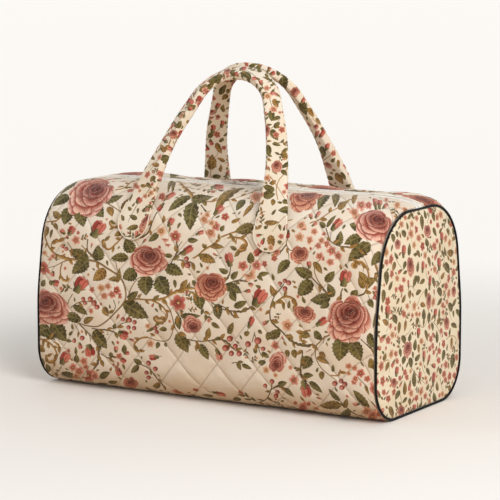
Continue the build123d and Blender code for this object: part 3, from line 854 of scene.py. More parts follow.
frontMotifs = {
    "rose": [
        [-194, 78, 22.7, -27.8, 31.3, 34.2, 0.1], [-238, 237, -9, -27.2, 39, 6.6, 0.2],
        [-77, 168, 1.3, -21.7, 31.3, 0.1, 0.3], [22, 194, 6.1, -19.9, 24.6, 4.3, 0.9], [122, 46, -8, -39, 25, 4, 1],
        [149, 143, 3, -11.6, 13.9, 1.4, 0.8], [223, 214, 9.6, -31.4, 30.1, 0.8, 0.4], [240, 84, 6, -27, 27, 6, 0.2],
        [-4.9, 247, 7.3, 11.2, 14, -6.6, 0.3], [121, 284, -8.1, 14.1, 11.5, 5.4, 0.3],
        [162, 217, -1.9, -11.2, 17.4, -0.3, 0.7], [-118, 347, 10, -15.9, 11.2, 3, 0.7],
    ],
    "leaf": [
        [-238, 90, -10.4, 6.9, -10.3, -10, 0.1], [-242, 61, -5.1, 15.4, -7.4, -8.1, 0.1],
        [-216, 118, -0.1, 12.9, -11.7, -3.4, 0.2], [-192, 120, 8.8, 13, -9.8, 3.6, 0.2],
        [-168, 109, 12.7, 8, -5, 7.8, 0.1], [-154, 86, 14.1, -6.9, 5.2, 6.7, 0.1],
        [-236, 113, -8.1, -7.3, 4.5, -2.6, 1.5], [-231, 131, 4.8, 5.7, -3.7, 1, 1.3],
        [-249, 133, -2, 7, -6.2, -4.2, 1.4], [-148, 108, 6, 7.1, -4.9, 2.6, 1.9],
        [-128, 92, 3.8, -11.7, 6.7, 4.1, 1.5], [-127, 138, -5.9, 3.1, -2.6, -3.4, 1.6],
        [-119, 43, 1.3, -13.9, 16, 21.6, 0.8], [-94, 34, 15.9, 31.8, -7.9, -8.2, 0.6],
        [-84, 42, 15.2, 27.4, -4.6, -2.4, 0.6], [-50, 85, -10.1, 15.4, -7, -6.4, 0.3],
        [-23, 103, 6, 22.5, -12.4, -0.6, 0.3], [-20, 73, 14.8, -4, 6.6, 10.7, 0.3],
        [30, 118, 1.8, -4.3, 3.6, 1.6, 0.5], [-72, 138, -7.7, 6.5, -3.9, -3.3, 0.3],
        [12.4, 59, -1.3, 39.4, -10.8, -12.4, 1.2], [42, 80, -1.1, 11.2, -6.9, -4.3, 0.2],
        [58, 89, -2.9, 11.7, -4, -2.4, 1.8], [78, 92, -0.3, -12.6, 6.4, 2.2, 0.6],
        [62, 116, -12.7, 5.2, -5, -7.6, 0.8], [150, 52, 6.1, 27.1, -11.1, -9.8, 0.2],
        [162, 40, 15.8, 32.4, -8.9, -4.7, 0.6], [183, 60, -0.1, -14, 6.8, 6.6, 1.5],
        [182, 26, -10.8, -27.7, 9.9, 13.4, 1.7], [226, 89, 0.1, -11.8, 5.5, 1.1, 0.2],
        [218, 98, -9, -1.5, 0.2, -7.8, 0.2], [221, 117, -10.4, 8, -4.5, -5.6, 0.3],
        [231, 129, -13, 15.9, -7.1, -5.1, 0.3], [172, 101, -5.8, -4, 1.8, -3.4, 0.4],
        [183, 95, 3.3, -9.9, 3.2, 1.9, 0.4], [202, 118, -0.5, -10, 5.9, 0.3, 0.4],
        [-188, 170, -16.7, -4.9, 3.6, -8.2, 0.2], [-184, 186, -12.9, 10.3, -8.3, -7, 0.3],
        [-155, 165, -2.5, -10.4, 9.9, -1.8, 0.2], [-152, 194, -9.7, 8.8, -7, -5.3, 1.9],
        [-129, 198, -8.7, 0.7, -0.3, -3.7, 1.3], [-122, 169, -13.4, 1.7, -1, -6.5, 0.4],
        [-109, 152, -6.3, -8.7, 8.8, -4.5, 0.2], [-105, 190, -10.6, 6.1, -6.6, -8, 0.2],
        [-36, 179, 15, 4, -3.2, 8.1, 0.2], [-77, 202, 0.9, 13, -13.2, 1.1, 0.3],
        [-51, 200, 10.2, 11.5, -10.6, 6.8, 0.2], [-47, 160, -7, -0.1, 0.2, -3.3, 0.5],
        [13.5, 160, 12.4, 3.5, -2.5, 6.1, 1.6], [26, 143, 10.6, -0.2, 0.1, 3.9, 1.5],
        [-10.8, 137, 8.3, -0.6, 0.6, 3.9, 0.4], [6.3, 214, 2.9, 12.1, -9.7, 2.2, 0.3],
        [-3.5, 194, 3.5, 5.5, -3, 1.4, 0.5], [-18.8, 195, 4, -6.8, 4.4, 1.8, 1.6],
        [6.7, 143, -2.6, -3, 2.5, -1.5, 1.5], [-98, 216, 8.4, -6, 3.9, 3.9, 0.3],
        [-92, 236, 20.4, 8.1, -6.8, 10.4, 0.4], [-232, 207, 1.2, 4.2, -3.6, -0.2, 0.6],
        [-246, 203, 2.8, -3.6, 6.1, 4.2, 0.3], [-181, 244, 12, 5, -3.5, 5, 0.4], [-140, 242, 3, 6.5, -5.3, 2.2, 1.6],
        [-198, 255, -16.5, -2.6, 2.7, -7.5, 0.3], [-221, 275, 12, 14.9, -12.4, 6, 0.3],
        [-253, 263, -16.2, -4.5, -18, -21.9, 0.2], [-168, 256, 9.2, -5, 2.4, 4, 1.4],
        [-151, 281, 9.5, 12.1, -9.1, 6, 0.4], [-122, 192, 0.8, -10, 4.1, 0.1, 1.4],
        [38, 173, -7, -2.6, 1.9, -3.5, 0.4], [56, 177, 4.8, -5.5, 3.9, 2.5, 0.4], [56, 195, 13.1, 4, -3, 6.6, 0.2],
        [57, 204, 4.2, 6.7, -5.5, 2.7, 0.3], [68, 213, 9.5, -4.7, 2.6, 4.2, 0.4],
        [78, 153, -0.6, -7.6, 5.9, -0.5, 0.4], [99, 172, 8, -1.9, 0.9, 3.2, 0.7], [94, 178, 4.7, 2.8, -1.7, 2.1, 0.5],
        [127, 161, -8, 9.5, -5.9, -3.6, 0.4], [113, 192, -3.5, -7.3, 4.1, -1.6, 1.6],
        [156, 165, -13.4, -4.6, 3.3, -7, 0.4], [159, 185, -9.2, 10.9, -8.6, -5.5, 0.3],
        [183, 196, -15.5, 3.3, -1.9, -7.9, 0.2], [197, 184, -4.9, -8.2, 5.6, -2.9, 0.3],
        [195, 167, 5.8, -7.5, 5.2, 3, 0.6], [230, 181, 3.6, -5.5, 4.3, 1.9, 0.4],
        [190, 204, -6.9, 3.8, -2.3, -3.4, 0.3], [177, 158, 7, 7, -3.8, 2.9, 1.6],
        [239, 158, -5.1, -5.9, 4.9, -4.8, 1.5], [238, 165, -4.4, -5, 4.3, -4.2, 1.6],
        [252, 183, 3.5, 2.7, -3.6, 5.1, 0.3], [254, 125, -4.8, 13.7, -5.7, 2.5, 0.2],
        [259, 195, -2.5, 14.8, -2.9, 3.5, 0.3], [-7, 235, 16.1, -1.5, 0, 4.7, 0.2],
        [-25, 246, 1.2, 9.2, -5.5, 1.2, 0.1], [-21, 273, 7.6, 12.7, -9.1, 5.2, 0.7],
        [10.7, 282, 6.2, 10.1, -6.2, 3.6, 0.4], [20, 255, 1.1, -7.4, 4.9, -0.1, 1.5],
        [0.2, 277, -1.1, 5.5, -3, 0, 1.6], [34, 226, 1, 10.3, -8.3, 1.2, 0.3], [210, 209, -5.2, 6.6, -3.2, -1.9, 0.3],
        [109, 251, -0.9, 6, -4.4, 0, 0.6], [116, 248, -11.2, 5.7, -3, -5.6, 0.5],
        [141, 249, -0.6, -5.1, 4.4, -0.9, 1.4], [147, 270, 1.2, 5.8, -5.1, 1.5, 1.3],
        [136, 271, 0.5, 5.2, -4.4, 0.9, 1.3], [213, 256, -1.9, 15.9, -12.5, 1.8, 0.4],
        [234, 252, 6.4, 11, -9.2, 7.7, 0.4], [256, 226, 5.5, 3.8, -4.5, 8.9, 0.3],
        [164, 280, -5.5, 9.1, -8.8, -3.4, 0.6], [181, 243, -4.4, 3.6, -5.5, -5.4, 0.3],
        [189, 274, 9.2, 3.5, -2.2, 3.7, 1.7], [188, 267, 4.9, 2.7, -2.7, 3.5, 1.7],
        [256, 256, -5.7, 8.6, -4.2, -2.8, 1.3], [186, 294, -0.3, 5.9, -4.6, 0.5, 1.2],
        [166, 296, 8, -0.9, -0.2, 4, 0.3], [176, 311, 8.7, 7.1, -3.6, 3.7, 0.3],
        [201, 318, -7.2, -7.5, 3.6, -3.7, 0.3], [238, 313, -8.8, -9.3, 5.2, -6.5, 0.5],
        [215, 328, 4.6, -9.7, 3.8, 0.3, 1.3], [190, 338, -18, 4.5, 3.2, -9.7, 1.2], [98, 287, -0.2, 4, -6, 0.6, 0.3],
        [90, 272, 3.1, -1.6, 1.8, 3.4, 0.3], [104, 276, 5, 3.5, -2.4, 2.6, 0.2], [76, 294, 7.3, 2.5, -1.8, 3.1, 0.5],
        [64, 295, 2.7, 5.1, -2.8, 1.5, 0.6], [67, 289, 4.5, -0.5, -0.1, 2.4, 0.8],
        [134, 324, 6.7, 6.1, -3.3, 3.5, 0.4], [127, 311, 6.8, -2.1, 0.6, 4.4, 0.3],
        [32, 262, -5.5, 2.5, -1.1, -2.3, 0.3], [-95, 306, -6.9, -2.7, 2.6, -3.9, 0.4],
        [-101, 318, -7.9, 7, -3, -3.2, 0.4], [-61, 280, -1.9, 5, -3.6, -0.5, 0.4],
        [-48, 278, 0.5, 3.3, -2.8, 0.8, 0.5], [-71, 260, -6.5, 3.3, -1.2, -2.3, 0.5],
        [-114, 290, 0.5, -6.2, 4.5, -0.5, 0.3], [-136, 300, -0.5, -3.4, 4, -1.1, 0.4],
        [-153, 334, 10.8, -6.5, 0, 6.3, 0.3], [-252, 322, 3.5, -7.1, 7.8, 3.3, 0.5],
        [-254, 288, -4.2, -9, 6.4, 3.3, 1.6], [-193, 312, 1, -6.6, 5.7, -0.5, 0.6],
        [-152, 315, 1.5, 5, -3.2, 1.5, 1.5], [-215, 344, 15.2, 5.5, -6.3, 8.1, 0.2],
        [-154, 293, 1.4, 2.6, -3.3, 1.7, 0.3], [-128, 260, 1.1, -3.5, 2.8, 0.2, 0.4],
        [78, 250, 4.6, -2.4, 1.8, 3.1, 1.2], [-76, 345, -7.7, 2.8, 3.6, -8.4, 1.4],
        [206, 353, -9.9, 5.4, 6.6, -16.1, 0.2], [259, 236, 1.6, 2.9, -0.7, 1.5, 1.5],
        [98, 246, 2.9, 2.3, -2.1, 2.1, 0.5], [164, 244, 7.2, 0.6, -1.2, 5.2, 1.2],
    ],
    "bud": [
        [-161, 134, 6, -11.9, 11.9, 4.6, 0.2], [-203, 139, 4.1, -6.1, 6.7, 3.3, 0.3],
        [-217, 140, -4.8, -3.7, 3.3, -2.6, 0.5], [-209, 147, -2.8, -2.7, 3.2, -1.9, 0.4],
        [-112, 87, 9.1, 3.8, 0.2, 6.4, 0.1], [-74, 94, -1.9, 7.8, -4.3, -2.3, 0],
        [-28, 21, 2.4, -13.7, 17.3, 26.7, 0.2], [15.4, 93, 4.8, -8, 5.3, 4.2, 0.6], [-50, 116, 1.6, -7.2, 6.2, 2, 0.3],
        [192, 100, 4.4, -9.5, 6.2, 4, 0.5], [-182, 210, 7.5, -11.3, 11.3, 4.7, 0.1],
        [-224, 208, 7.2, 2.1, -1.4, 5.1, 0.3], [-18.6, 151, 9.5, -5.9, 3.7, 4.3, 0.1],
        [46, 158, -3, -9.4, 7.9, -2, 0.4], [95, 203, 6.5, -12.1, 10.7, 4, 0.2], [216, 166, 1.8, -11.6, 9.4, -0.2, 0.3],
        [125, 118, 0.2, 6.1, -6.6, -0.8, 0.4], [-214, 313, 7.2, -9.5, 8.7, 3.9, 0.3],
        [-170, 298, 1.7, 8.8, -9.7, 2.9, 0.1], [-115, 271, 8.6, 1.9, -3.5, 7.4, 0.2],
        [160, 315, 2.4, 12.6, -8.8, 3.7, 0.3], [81, 187, 3.8, 1.6, -1.7, 3, 0.9],
        [164, 155, -1.1, -4.9, 4.2, -0.8, 0.6], [33, 284, 1.8, 7.2, -6, 2, 1], [-127, 292, 0.4, -4.9, 4.5, -0.5, 0.9],
        [-111, 296, 4.9, -1.2, 0.4, 3.2, 0.3], [-118, 306, 4.5, 3.7, -3.7, 3.3, 0.2],
        [-185, 293, 1.2, 4.7, -4.2, 1.4, 0.5], [-195, 287, -1.1, 3.6, -4.2, -0.4, 0.8],
        [-229, 195, -0.5, 4, -4.7, -1.3, 0.6], [219, 40, -15.3, -26, 1.8, -4.5, 0.6],
        [225, 39, -9.4, -19, 3.7, -1.1, 0.4], [235, 43, -1.6, -11.2, 4.2, 4.1, 0.6],
        [-71, 74, 5.5, -9.7, 5.3, 5.2, 0.6], [159, 86, 1.5, -6.3, 3.7, 2.4, 0.8], [151, 90, -2.8, -4.8, 3.3, -1, 0.8],
        [161, 102, 3.1, -3.3, 2.4, 2.3, 0.8], [-129, 324, 1.4, 8.9, -6.2, 3.2, 0.1],
        [-134, 315, 1.9, -1.7, 1.9, 1.9, 0.6], [-215, 159, -2.3, 2.6, -3.8, -2.3, 0.6],
    ],
    "berry": [
        [-176, 228, 3.6, -0.3, 0, 3, 0.2], [-165, 227, 4.2, -0.4, 0, 3.5, 0.2], [-173, 233, 3.9, -0.4, 0, 3.2, 0.3],
        [-159, 232, 4.8, -0.4, 0, 4, 0.2], [-154, 237, 4.2, -0.4, -0.1, 3.5, 0.2], [-209, 163, 3.7, 0, 0.3, 2.9, 0.2],
        [123, 182, 3.2, -0.3, 0.2, 2.8, 0.4], [130, 178, 3.5, -0.3, 0.2, 3, 0.3], [136, 180, 4.1, -0.3, 0.3, 3.5, 0.3],
        [131, 188, 4.1, -0.4, 0.3, 3.5, 0.3], [51, 260, 5, -0.5, -0.3, 4.4, 0.1], [59, 269, 4.2, -0.4, -0.2, 3.8, 0.1],
        [44, 273, 5.2, -0.5, -0.3, 4.6, 0.1], [53, 279, 4.4, -0.5, -0.2, 3.9, 0.2],
        [65, 278, 4.4, -0.5, -0.2, 3.9, 0.2], [79, 264, 4.8, -0.5, -0.2, 4.3, 0.2], [94, 258, 5.7, -0.6, -0.3, 5, 0.5],
        [-114, 250, 3.7, -0.3, -0.1, 3.1, 0.4], [-103, 250, 4.3, -0.4, -0.2, 3.7, 0.2],
        [-95, 252, 3.8, -0.4, -0.2, 3.3, 0.2], [-105, 260, 3.7, -0.4, -0.2, 3.2, 0.3],
        [-96, 260, 3.8, -0.4, -0.2, 3.3, 0.4], [-77, 306, 4.4, -0.5, -0.3, 3.9, 0.3],
        [-67, 313, 4.2, -0.5, -0.6, 3.8, 0.3], [-83, 321, 3.7, -0.4, -0.9, 3.7, 0.3],
        [-82, 329, 4, -0.5, -1.5, 4.3, 0.4], [-63, 257, 3.9, -0.4, -0.2, 3.4, 0.4],
        [-61, 262, 3.8, -0.4, -0.2, 3.3, 0.5], [112, 310, 3.9, -0.4, -0.3, 3.6, 0.4],
        [101, 317, 3.3, -0.4, -0.5, 3.2, 0.5], [117, 325, 3.7, -0.5, -1, 3.9, 0.3],
        [113, 332, 4, -0.6, -1.6, 4.9, 0.3], [101, 268, 3.6, -0.4, -0.2, 3.2, 0.4],
        [-18.4, 162, 4, -0.3, 0.3, 3.4, 0.4], [-16.2, 170, 5, -0.4, 0.4, 4.3, 0.4],
        [-181, 282, 4.3, -0.4, -0.3, 3.6, 0.3], [213, 297, 3.7, -0.9, -0.1, 3.4, 0.1],
        [218, 300, 4, -1.1, -0.1, 3.7, 0.1], [214, 305, 4, -1, -0.2, 3.7, 0.1], [204, 302, 4.1, -0.8, -0.2, 3.8, 0.3],
        [258, 163, 2.8, -4.7, 0.3, 2.5, 0.6], [257, 170, 3.5, -4.7, 0.3, 2.7, 0.4],
    ],
    "blossom": [
        [-193, 151, 8.1, -0.5, 0.6, 6.6, 0.5], [-249, 161, 7.4, 4.2, 0.5, 4.3, 0.9],
        [-232, 171, 6, 1.1, 0.4, 4.4, 0.6], [-238, 173, 4.8, 1.2, 0.3, 3.4, 0.5],
        [-252, 179, 19.6, 13.4, 1.7, 10.8, 0.1], [-148, 211, 7.3, -0.6, 0.3, 6.1, 0.9],
        [-137, 208, 6.4, -0.5, 0.3, 5.3, 0.7], [-143, 221, 7.4, -0.6, 0.2, 6.1, 0.6],
        [-130, 218, 7, -0.6, 0.2, 5.8, 0.4], [-124, 212, 7.3, -0.6, 0.3, 6.1, 0.1],
        [-120, 219, 6.3, -0.6, 0.2, 5.3, 0.2], [-136, 52, 6, -1.2, 9.7, 15, 0.7], [-94, 81, 6.9, -0.7, 4.7, 8.7, 0.6],
        [-98, 68, 4.4, -0.5, 4.2, 7.1, 0.5], [-82, 75, 6.8, -0.8, 5.3, 9.5, 0.2],
        [-0.8, 108, 7.4, -0.6, 2.6, 7.2, 0.8], [11.5, 112, 5.9, -0.5, 1.8, 5.5, 0.9],
        [18.8, 116, 8.1, -0.6, 2.2, 7.5, 0.3], [1.4, 101, 5.2, -0.4, 2.1, 5.2, 0.8],
        [29, 102, 6.6, -0.6, 2.6, 6.6, 0.1], [13.5, 125, 8.9, -0.7, 1.9, 7.9, 0.7],
        [-61, 129, 8.4, -0.6, 1.5, 7.2, 0.9], [-38, 134, 9.9, -0.8, 1.4, 8.4, 0.2],
        [-53, 138, 6.9, -0.5, 0.8, 5.8, 0.6], [-48, 145, 5.4, -0.4, 0.4, 4.5, 0.4], [55, 60, 9, -1.4, 10, 17.7, 0.7],
        [143, 105, 7.8, -0.7, 2.8, 7.8, 0.8], [145, 121, 7.8, -0.6, 1.8, 7.2, 0.8], [149, 111, 5, -0.4, 1.5, 4.8, 0.7],
        [164, 112, 5.6, -0.5, 1.7, 5.4, 0.6], [-26, 220, 13.8, -1.2, 0.4, 11.7, 0.1],
        [67, 164, 8.2, -0.7, 0.6, 7, 0.3], [87, 162, 8.8, -0.7, 0.6, 7.6, 0.4], [78, 174, 11.1, -0.9, 0.8, 9.5, 0.8],
        [113, 151, 5.3, -0.4, 0.4, 4.5, 0.1], [116, 143, 5.8, -0.5, 0.5, 5, 0.4], [207, 56, 6.7, -2.2, 7.8, 14.9, 0.5],
        [216, 53, 4.9, -2.1, 6.2, 11.7, 0.3], [206, 74, 7.1, -1.5, 4.9, 10.4, 0.7],
        [214, 82, 6.4, -1.6, 3.6, 8.2, 0.8], [244, 27, 2.5, -6.2, 9.4, 17.5, 0.9],
        [221, 14.2, 2, -2.9, 8.7, 16.3, 0.6], [177, 123, 5.6, -0.4, 1.2, 5.2, 0.7], [174, 130, 5.7, -0.4, 0.9, 5, 0.4],
        [185, 127, 6.3, -0.5, 1.2, 5.7, 0.4], [194, 135, 7.7, -0.7, 1, 6.9, 0.4], [178, 143, 6.4, -0.5, 0.5, 5.6, 0.4],
        [204, 140, 6.9, -1, 0.7, 6.2, 0.5], [194, 149, 6.4, -0.6, 0.5, 5.6, 0.5], [185, 146, 4.3, -0.3, 0.3, 3.7, 0.3],
        [256, 160, 4, -4.9, 0.3, 3.4, 0.5], [-74, 255, 5.5, -0.5, -0.3, 4.7, 0.9],
        [-72, 279, 7.1, -0.7, -0.4, 6.2, 0.8], [-181, 314, 7.5, -0.8, -1.2, 6.7, 0.5],
        [-180, 323, 5.4, -0.7, -1.6, 5.4, 0.4], [-202, 326, 7.8, -0.6, -2.7, 7.8, 0.5],
        [-194, 332, 8.7, -1.1, -3.9, 9.7, 0.5], [-205, 344, 7.4, -0.9, -5.8, 10.6, 0.8],
        [-183, 340, 13.4, -2.3, -8.6, 18, 0.2], [-171, 338, 7.9, -1.3, -4.6, 10.2, 0.5],
        [-130, 319, 4.1, -0.5, -0.9, 3.9, 0.4], [224, 275, 5.3, -1.6, -0.2, 5, 0.6],
        [232, 275, 4.8, -1.8, -0.1, 4.6, 0.6], [224, 284, 4.2, -1.3, -0.1, 3.9, 0.7],
        [240, 278, 6.6, -3.1, -0.2, 6.3, 0.2], [233, 288, 4.8, -1.9, -0.1, 4.6, 0.4],
        [249, 280, 5.2, -3.7, -0.1, 4.9, 0.3], [231, 293, 4.9, -1.8, -0.2, 4.6, 0.4],
        [238, 293, 4.4, -2, -0.1, 4.2, 0.7], [259, 285, 8.1, -3.3, 0, 10.9, 0.3],
        [240, 335, 8.2, -4.6, -4.8, 14.9, 0.6], [243, 346, 8.7, -6.1, -11, 29.2, 0.4],
        [256, 327, 7, -9.4, -4.4, 15.2, 0.3], [247, 360, 8.9, -7.8, -8.8, 26.5, 0.5],
        [144, 353, 8.5, -2.3, -9.8, 20.3, 0.3], [138, 342, 4.2, -0.8, -2.5, 6.2, 0.3],
        [-123, 301, 5.6, -0.6, -0.4, 4.9, 0.3], [158, 340, 4.7, -0.9, -2.6, 6.8, 0.3],
    ],
    "vine": [
        [2.2, 0, -159, 70, -148, 61, -154, 33, -164, 0], [1.3, 1, -158, 10, -127, 54, -120, 73, -119, 83],
        [1.3, 0, -127, 54, -110, 72, -99, 79], [1.6, 2, -166, 91, -152, 98, -136, 105, -125, 113, -119, 121],
        [1.5, 0, -256, 116, -235, 123, -223, 118],
        [2, 0, -125, 115, -123, 124, -130, 129, -140, 128, -144, 123, -140, 120],
        [1.4, 2, -133, 105, -121, 110, -112, 118],
        [2, 0, -115, 132, -120, 141, -129, 151, -139, 159, -148, 155, -150, 149, -143, 147],
        [2.6, 0, -103, 2, -69, 41, -49, 58, -33, 74], [1.2, 3, -75, 36, -73, 22, -75, 0],
        [1.2, 3, -59, 44, -44, 50, -39, 38, -49, 8], [1.4, 0, -25, 83, -13, 80, 2, 79, 9, 69],
        [1.4, 1, -15, 86, -2, 97, 4, 103], [1.1, 1, -2, 97, 5, 95], [1, 1, 13, 100, 10, 107, 11, 114],
        [1.6, 1, -76, 102, -78, 118, -81, 132, -92, 141], [1.4, 0, 12, 76, 24, 70, 37, 57, 42, 38, 35, 7],
        [1.3, 0, 48, 48, 55, 77], [1.5, 0, 127, 97, 116, 102, 108, 113, 96, 120],
        [2, 0, 30, 130, 49, 122, 66, 118, 83, 115], [1.3, 1, 72, 113, 80, 105, 85, 99], [1.2, 1, 83, 115, 93, 124],
        [1.8, 0, 154, 101, 166, 93, 177, 78, 185, 64, 181, 37], [1.2, 1, 230, 58, 236, 65, 235, 74, 234, 82],
        [1.3, 1, 179, 106, 186, 117, 192, 124, 205, 128, 219, 127, 235, 125], [1, 1, 188, 111, 190, 122],
        [2.2, 0, -252, 136, -241, 156, -229, 168, -215, 174, -201, 177, -185, 176],
        [2, 0, -233, 164, -236, 154, -229, 150, -220, 153], [1.4, 2, -201, 177, -214, 181, -226, 185, -240, 185],
        [1, 2, -226, 185, -232, 191], [1.2, 2, -208, 175, -225, 176, -240, 170, -247, 164],
        [2.2, 0, -214, 182, -216, 191, -214, 201, -205, 206, -200, 202],
        [2.4, 2, -175, 176, -157, 177, -140, 184, -127, 190, -117, 197, -111, 208, -109, 220, -115, 231, -128, 244,
         -140, 255, -154, 263, -170, 264, -183, 263, -196, 261], [1.5, 1, -174, 148, -173, 163, -164, 171, -154, 178],
        [1.2, 1, -208, 154, -199, 163, -187, 172], [1.2, 1, -183, 157, -173, 165],
        [1.3, 2, -117, 194, -125, 183, -127, 175, -137, 172], [1.2, 1, -194, 223, -201, 233, -203, 240],
        [1.2, 1, -198, 242, -185, 234, -172, 231, -162, 231], [1.2, 1, -128, 225, -125, 234, -130, 243],
        [1.2, 1, -119, 226, -123, 236],
        [2.2, 0, -115, 231, -108, 225, -92, 221, -70, 220, -51, 217, -36, 209, -21, 202, -6, 199, 2, 202],
        [1.5, 0, -20, 203, -9, 204, 2, 209], [1.4, 2, -105, 215, -98, 202, -90, 193, -83, 191],
        [2.2, 0, -67, 220, -54, 224, -45, 231, -43, 240, -51, 248, -61, 247, -62, 242, -57, 240],
        [1.6, 2, -62, 219, -48, 221, -39, 229, -34, 241, -33, 251, -38, 265, -48, 273, -64, 273, -78, 270],
        [2.2, 0, -75, 270, -87, 273, -97, 281, -98, 289, -92, 292, -87, 288], [1.2, 2, -71, 271, -82, 265],
        [1.2, 2, -59, 273, -70, 275], [1.4, 0, -47, 273, -54, 267], [1.3, 1, -39, 221, -26, 227, -17, 231],
        [1.3, 1, -37, 224, -26, 235, -23, 242], [1.6, 1, -45, 175, -40, 167, -33, 153, -36, 139],
        [1.4, 1, -40, 165, -30, 157, -24, 152], [1, 1, -33, 149, -27, 140], [1.3, 1, -38, 167, -27, 164, -20, 168],
        [1.3, 1, -21, 165, -12, 166, -6, 168], [2, 0, -12, 163, -1, 156, 9, 147, 21, 140, 30, 131],
        [1.4, 1, 21, 213, 32, 219, 41, 222, 53, 223, 72, 222, 85, 214], [1, 2, 24, 216, 27, 227],
        [1.4, 1, 35, 217, 50, 222, 60, 232], [2.6, 0, 33, 131, 48, 129, 63, 130, 70, 136, 66, 144, 57, 145],
        [1.4, 0, 54, 130, 54, 137], [1.4, 1, 49, 167, 48, 176, 43, 186], [1.4, 1, 43, 190, 53, 186, 65, 183, 77, 184],
        [1, 1, 64, 183, 69, 177], [1.2, 1, 78, 162, 77, 169], [1.2, 1, 128, 124, 128, 132, 135, 139, 144, 137],
        [1.6, 1, 128, 132, 122, 141, 114, 149], [1, 1, 132, 139, 135, 153],
        [1.5, 1, 129, 182, 123, 190, 117, 198, 113, 209, 112, 222, 115, 232, 127, 241, 137, 250, 149, 256, 163, 257,
         175, 254], [2.4, 0, 112, 214, 120, 206, 131, 198, 142, 199, 148, 205, 144, 211],
        [1.6, 0, 118, 209, 126, 205, 132, 209], [1.2, 1, 123, 184, 126, 188],
        [1.6, 1, 168, 170, 177, 177, 187, 184, 196, 191], [1.4, 2, 185, 181, 177, 172, 172, 161, 174, 152, 179, 148],
        [1.2, 1, 168, 164, 171, 170], [1.2, 1, 188, 183, 186, 177], [1.4, 1, 214, 179, 212, 186, 213, 193],
        [1.6, 1, 234, 183, 242, 177, 246, 168, 253, 155, 259, 135],
        [2.2, 0, 245, 170, 247, 157, 246, 148, 241, 141, 235, 140, 226, 146, 227, 150, 231, 148],
        [1.2, 2, 247, 145, 242, 137, 239, 134], [1.4, 0, 254, 153, 256, 142], [1.2, 1, 243, 177, 251, 169, 256, 165],
        [1, 1, 248, 175, 251, 182],
        [1.6, 2, 200, 240, 191, 244, 184, 251, 178, 258, 178, 270, 184, 282, 192, 289, 199, 293, 207, 298],
        [1.4, 0, 199, 292, 208, 291, 213, 285, 212, 282], [1.4, 1, 156, 258, 168, 258, 178, 254],
        [1.2, 2, 172, 261, 164, 266], [1.2, 1, 179, 260, 171, 270], [1.4, 2, 191, 242, 189, 253],
        [2, 0, 171, 237, 161, 240, 156, 248, 159, 255], [1.6, 1, 150, 257, 159, 264, 154, 293, 158, 303],
        [1.4, 1, 153, 288, 144, 289], [1, 1, 154, 293, 162, 303, 171, 307], [1.4, 1, 241, 234, 250, 237, 258, 236],
        [1.2, 1, 235, 284, 242, 288, 250, 291], [1.6, 1, 208, 326, 215, 337, 221, 349, 226, 357],
        [1.4, 1, 193, 331, 207, 331, 212, 335], [1.6, 1, 107, 323, 119, 316, 129, 317],
        [1.3, 1, 112, 312, 108, 323, 101, 334, 92, 344, 76, 357], [1.1, 1, 102, 318, 104, 327],
        [1.1, 1, 105, 330, 114, 325], [1.2, 1, 89, 247, 91, 255, 94, 265, 96, 273, 100, 280],
        [1.2, 1, 89, 250, 85, 261], [1, 1, 95, 266, 102, 270],
        [1.4, 1, -14, 267, -1, 268, 12, 267, 26, 264, 37, 262, 46, 265, 55, 272, 63, 276], [1.1, 1, 40, 263, 46, 269],
        [1.2, 1, 19, 266, 27, 271, 33, 277], [1.2, 1, -28, 237, -31, 251, -24, 261, -12, 268],
        [1.5, 1, -90, 309, -82, 312, -75, 317, -70, 327, -66, 338, -62, 349], [1.1, 1, -77, 310, -74, 317],
        [1.1, 1, -81, 322, -74, 323], [1.1, 1, -80, 329, -72, 327], [1.1, 1, -69, 315, -71, 324],
        [1.6, 1, -186, 263, -174, 272, -165, 279, -157, 291, -157, 305, -160, 316, -172, 329],
        [1.2, 1, -196, 261, -190, 269, -184, 278], [1.2, 1, -169, 274, -168, 286],
        [1.4, 1, -164, 267, -151, 267, -138, 267, -124, 270], [1.2, 1, -138, 265, -126, 263, -116, 256, -105, 253],
        [1.4, 1, -153, 301, -142, 306, -133, 303, -123, 304], [1.6, 0, -259, 271, -247, 281, -234, 282],
        [2.4, 0, -251, 279, -236, 290, -228, 300, -227, 310, -238, 316, -247, 310, -245, 304, -240, 307],
        [1.6, 0, -236, 286, -227, 290, -219, 299], [1.4, 0, -243, 285, -238, 295],
        [1.2, 1, -221, 324, -235, 335, -256, 341], [1.2, 1, 53, 292, 61, 290, 68, 292],
        [1.2, 1, -164, 341, -175, 343, -188, 355],
    ],
}


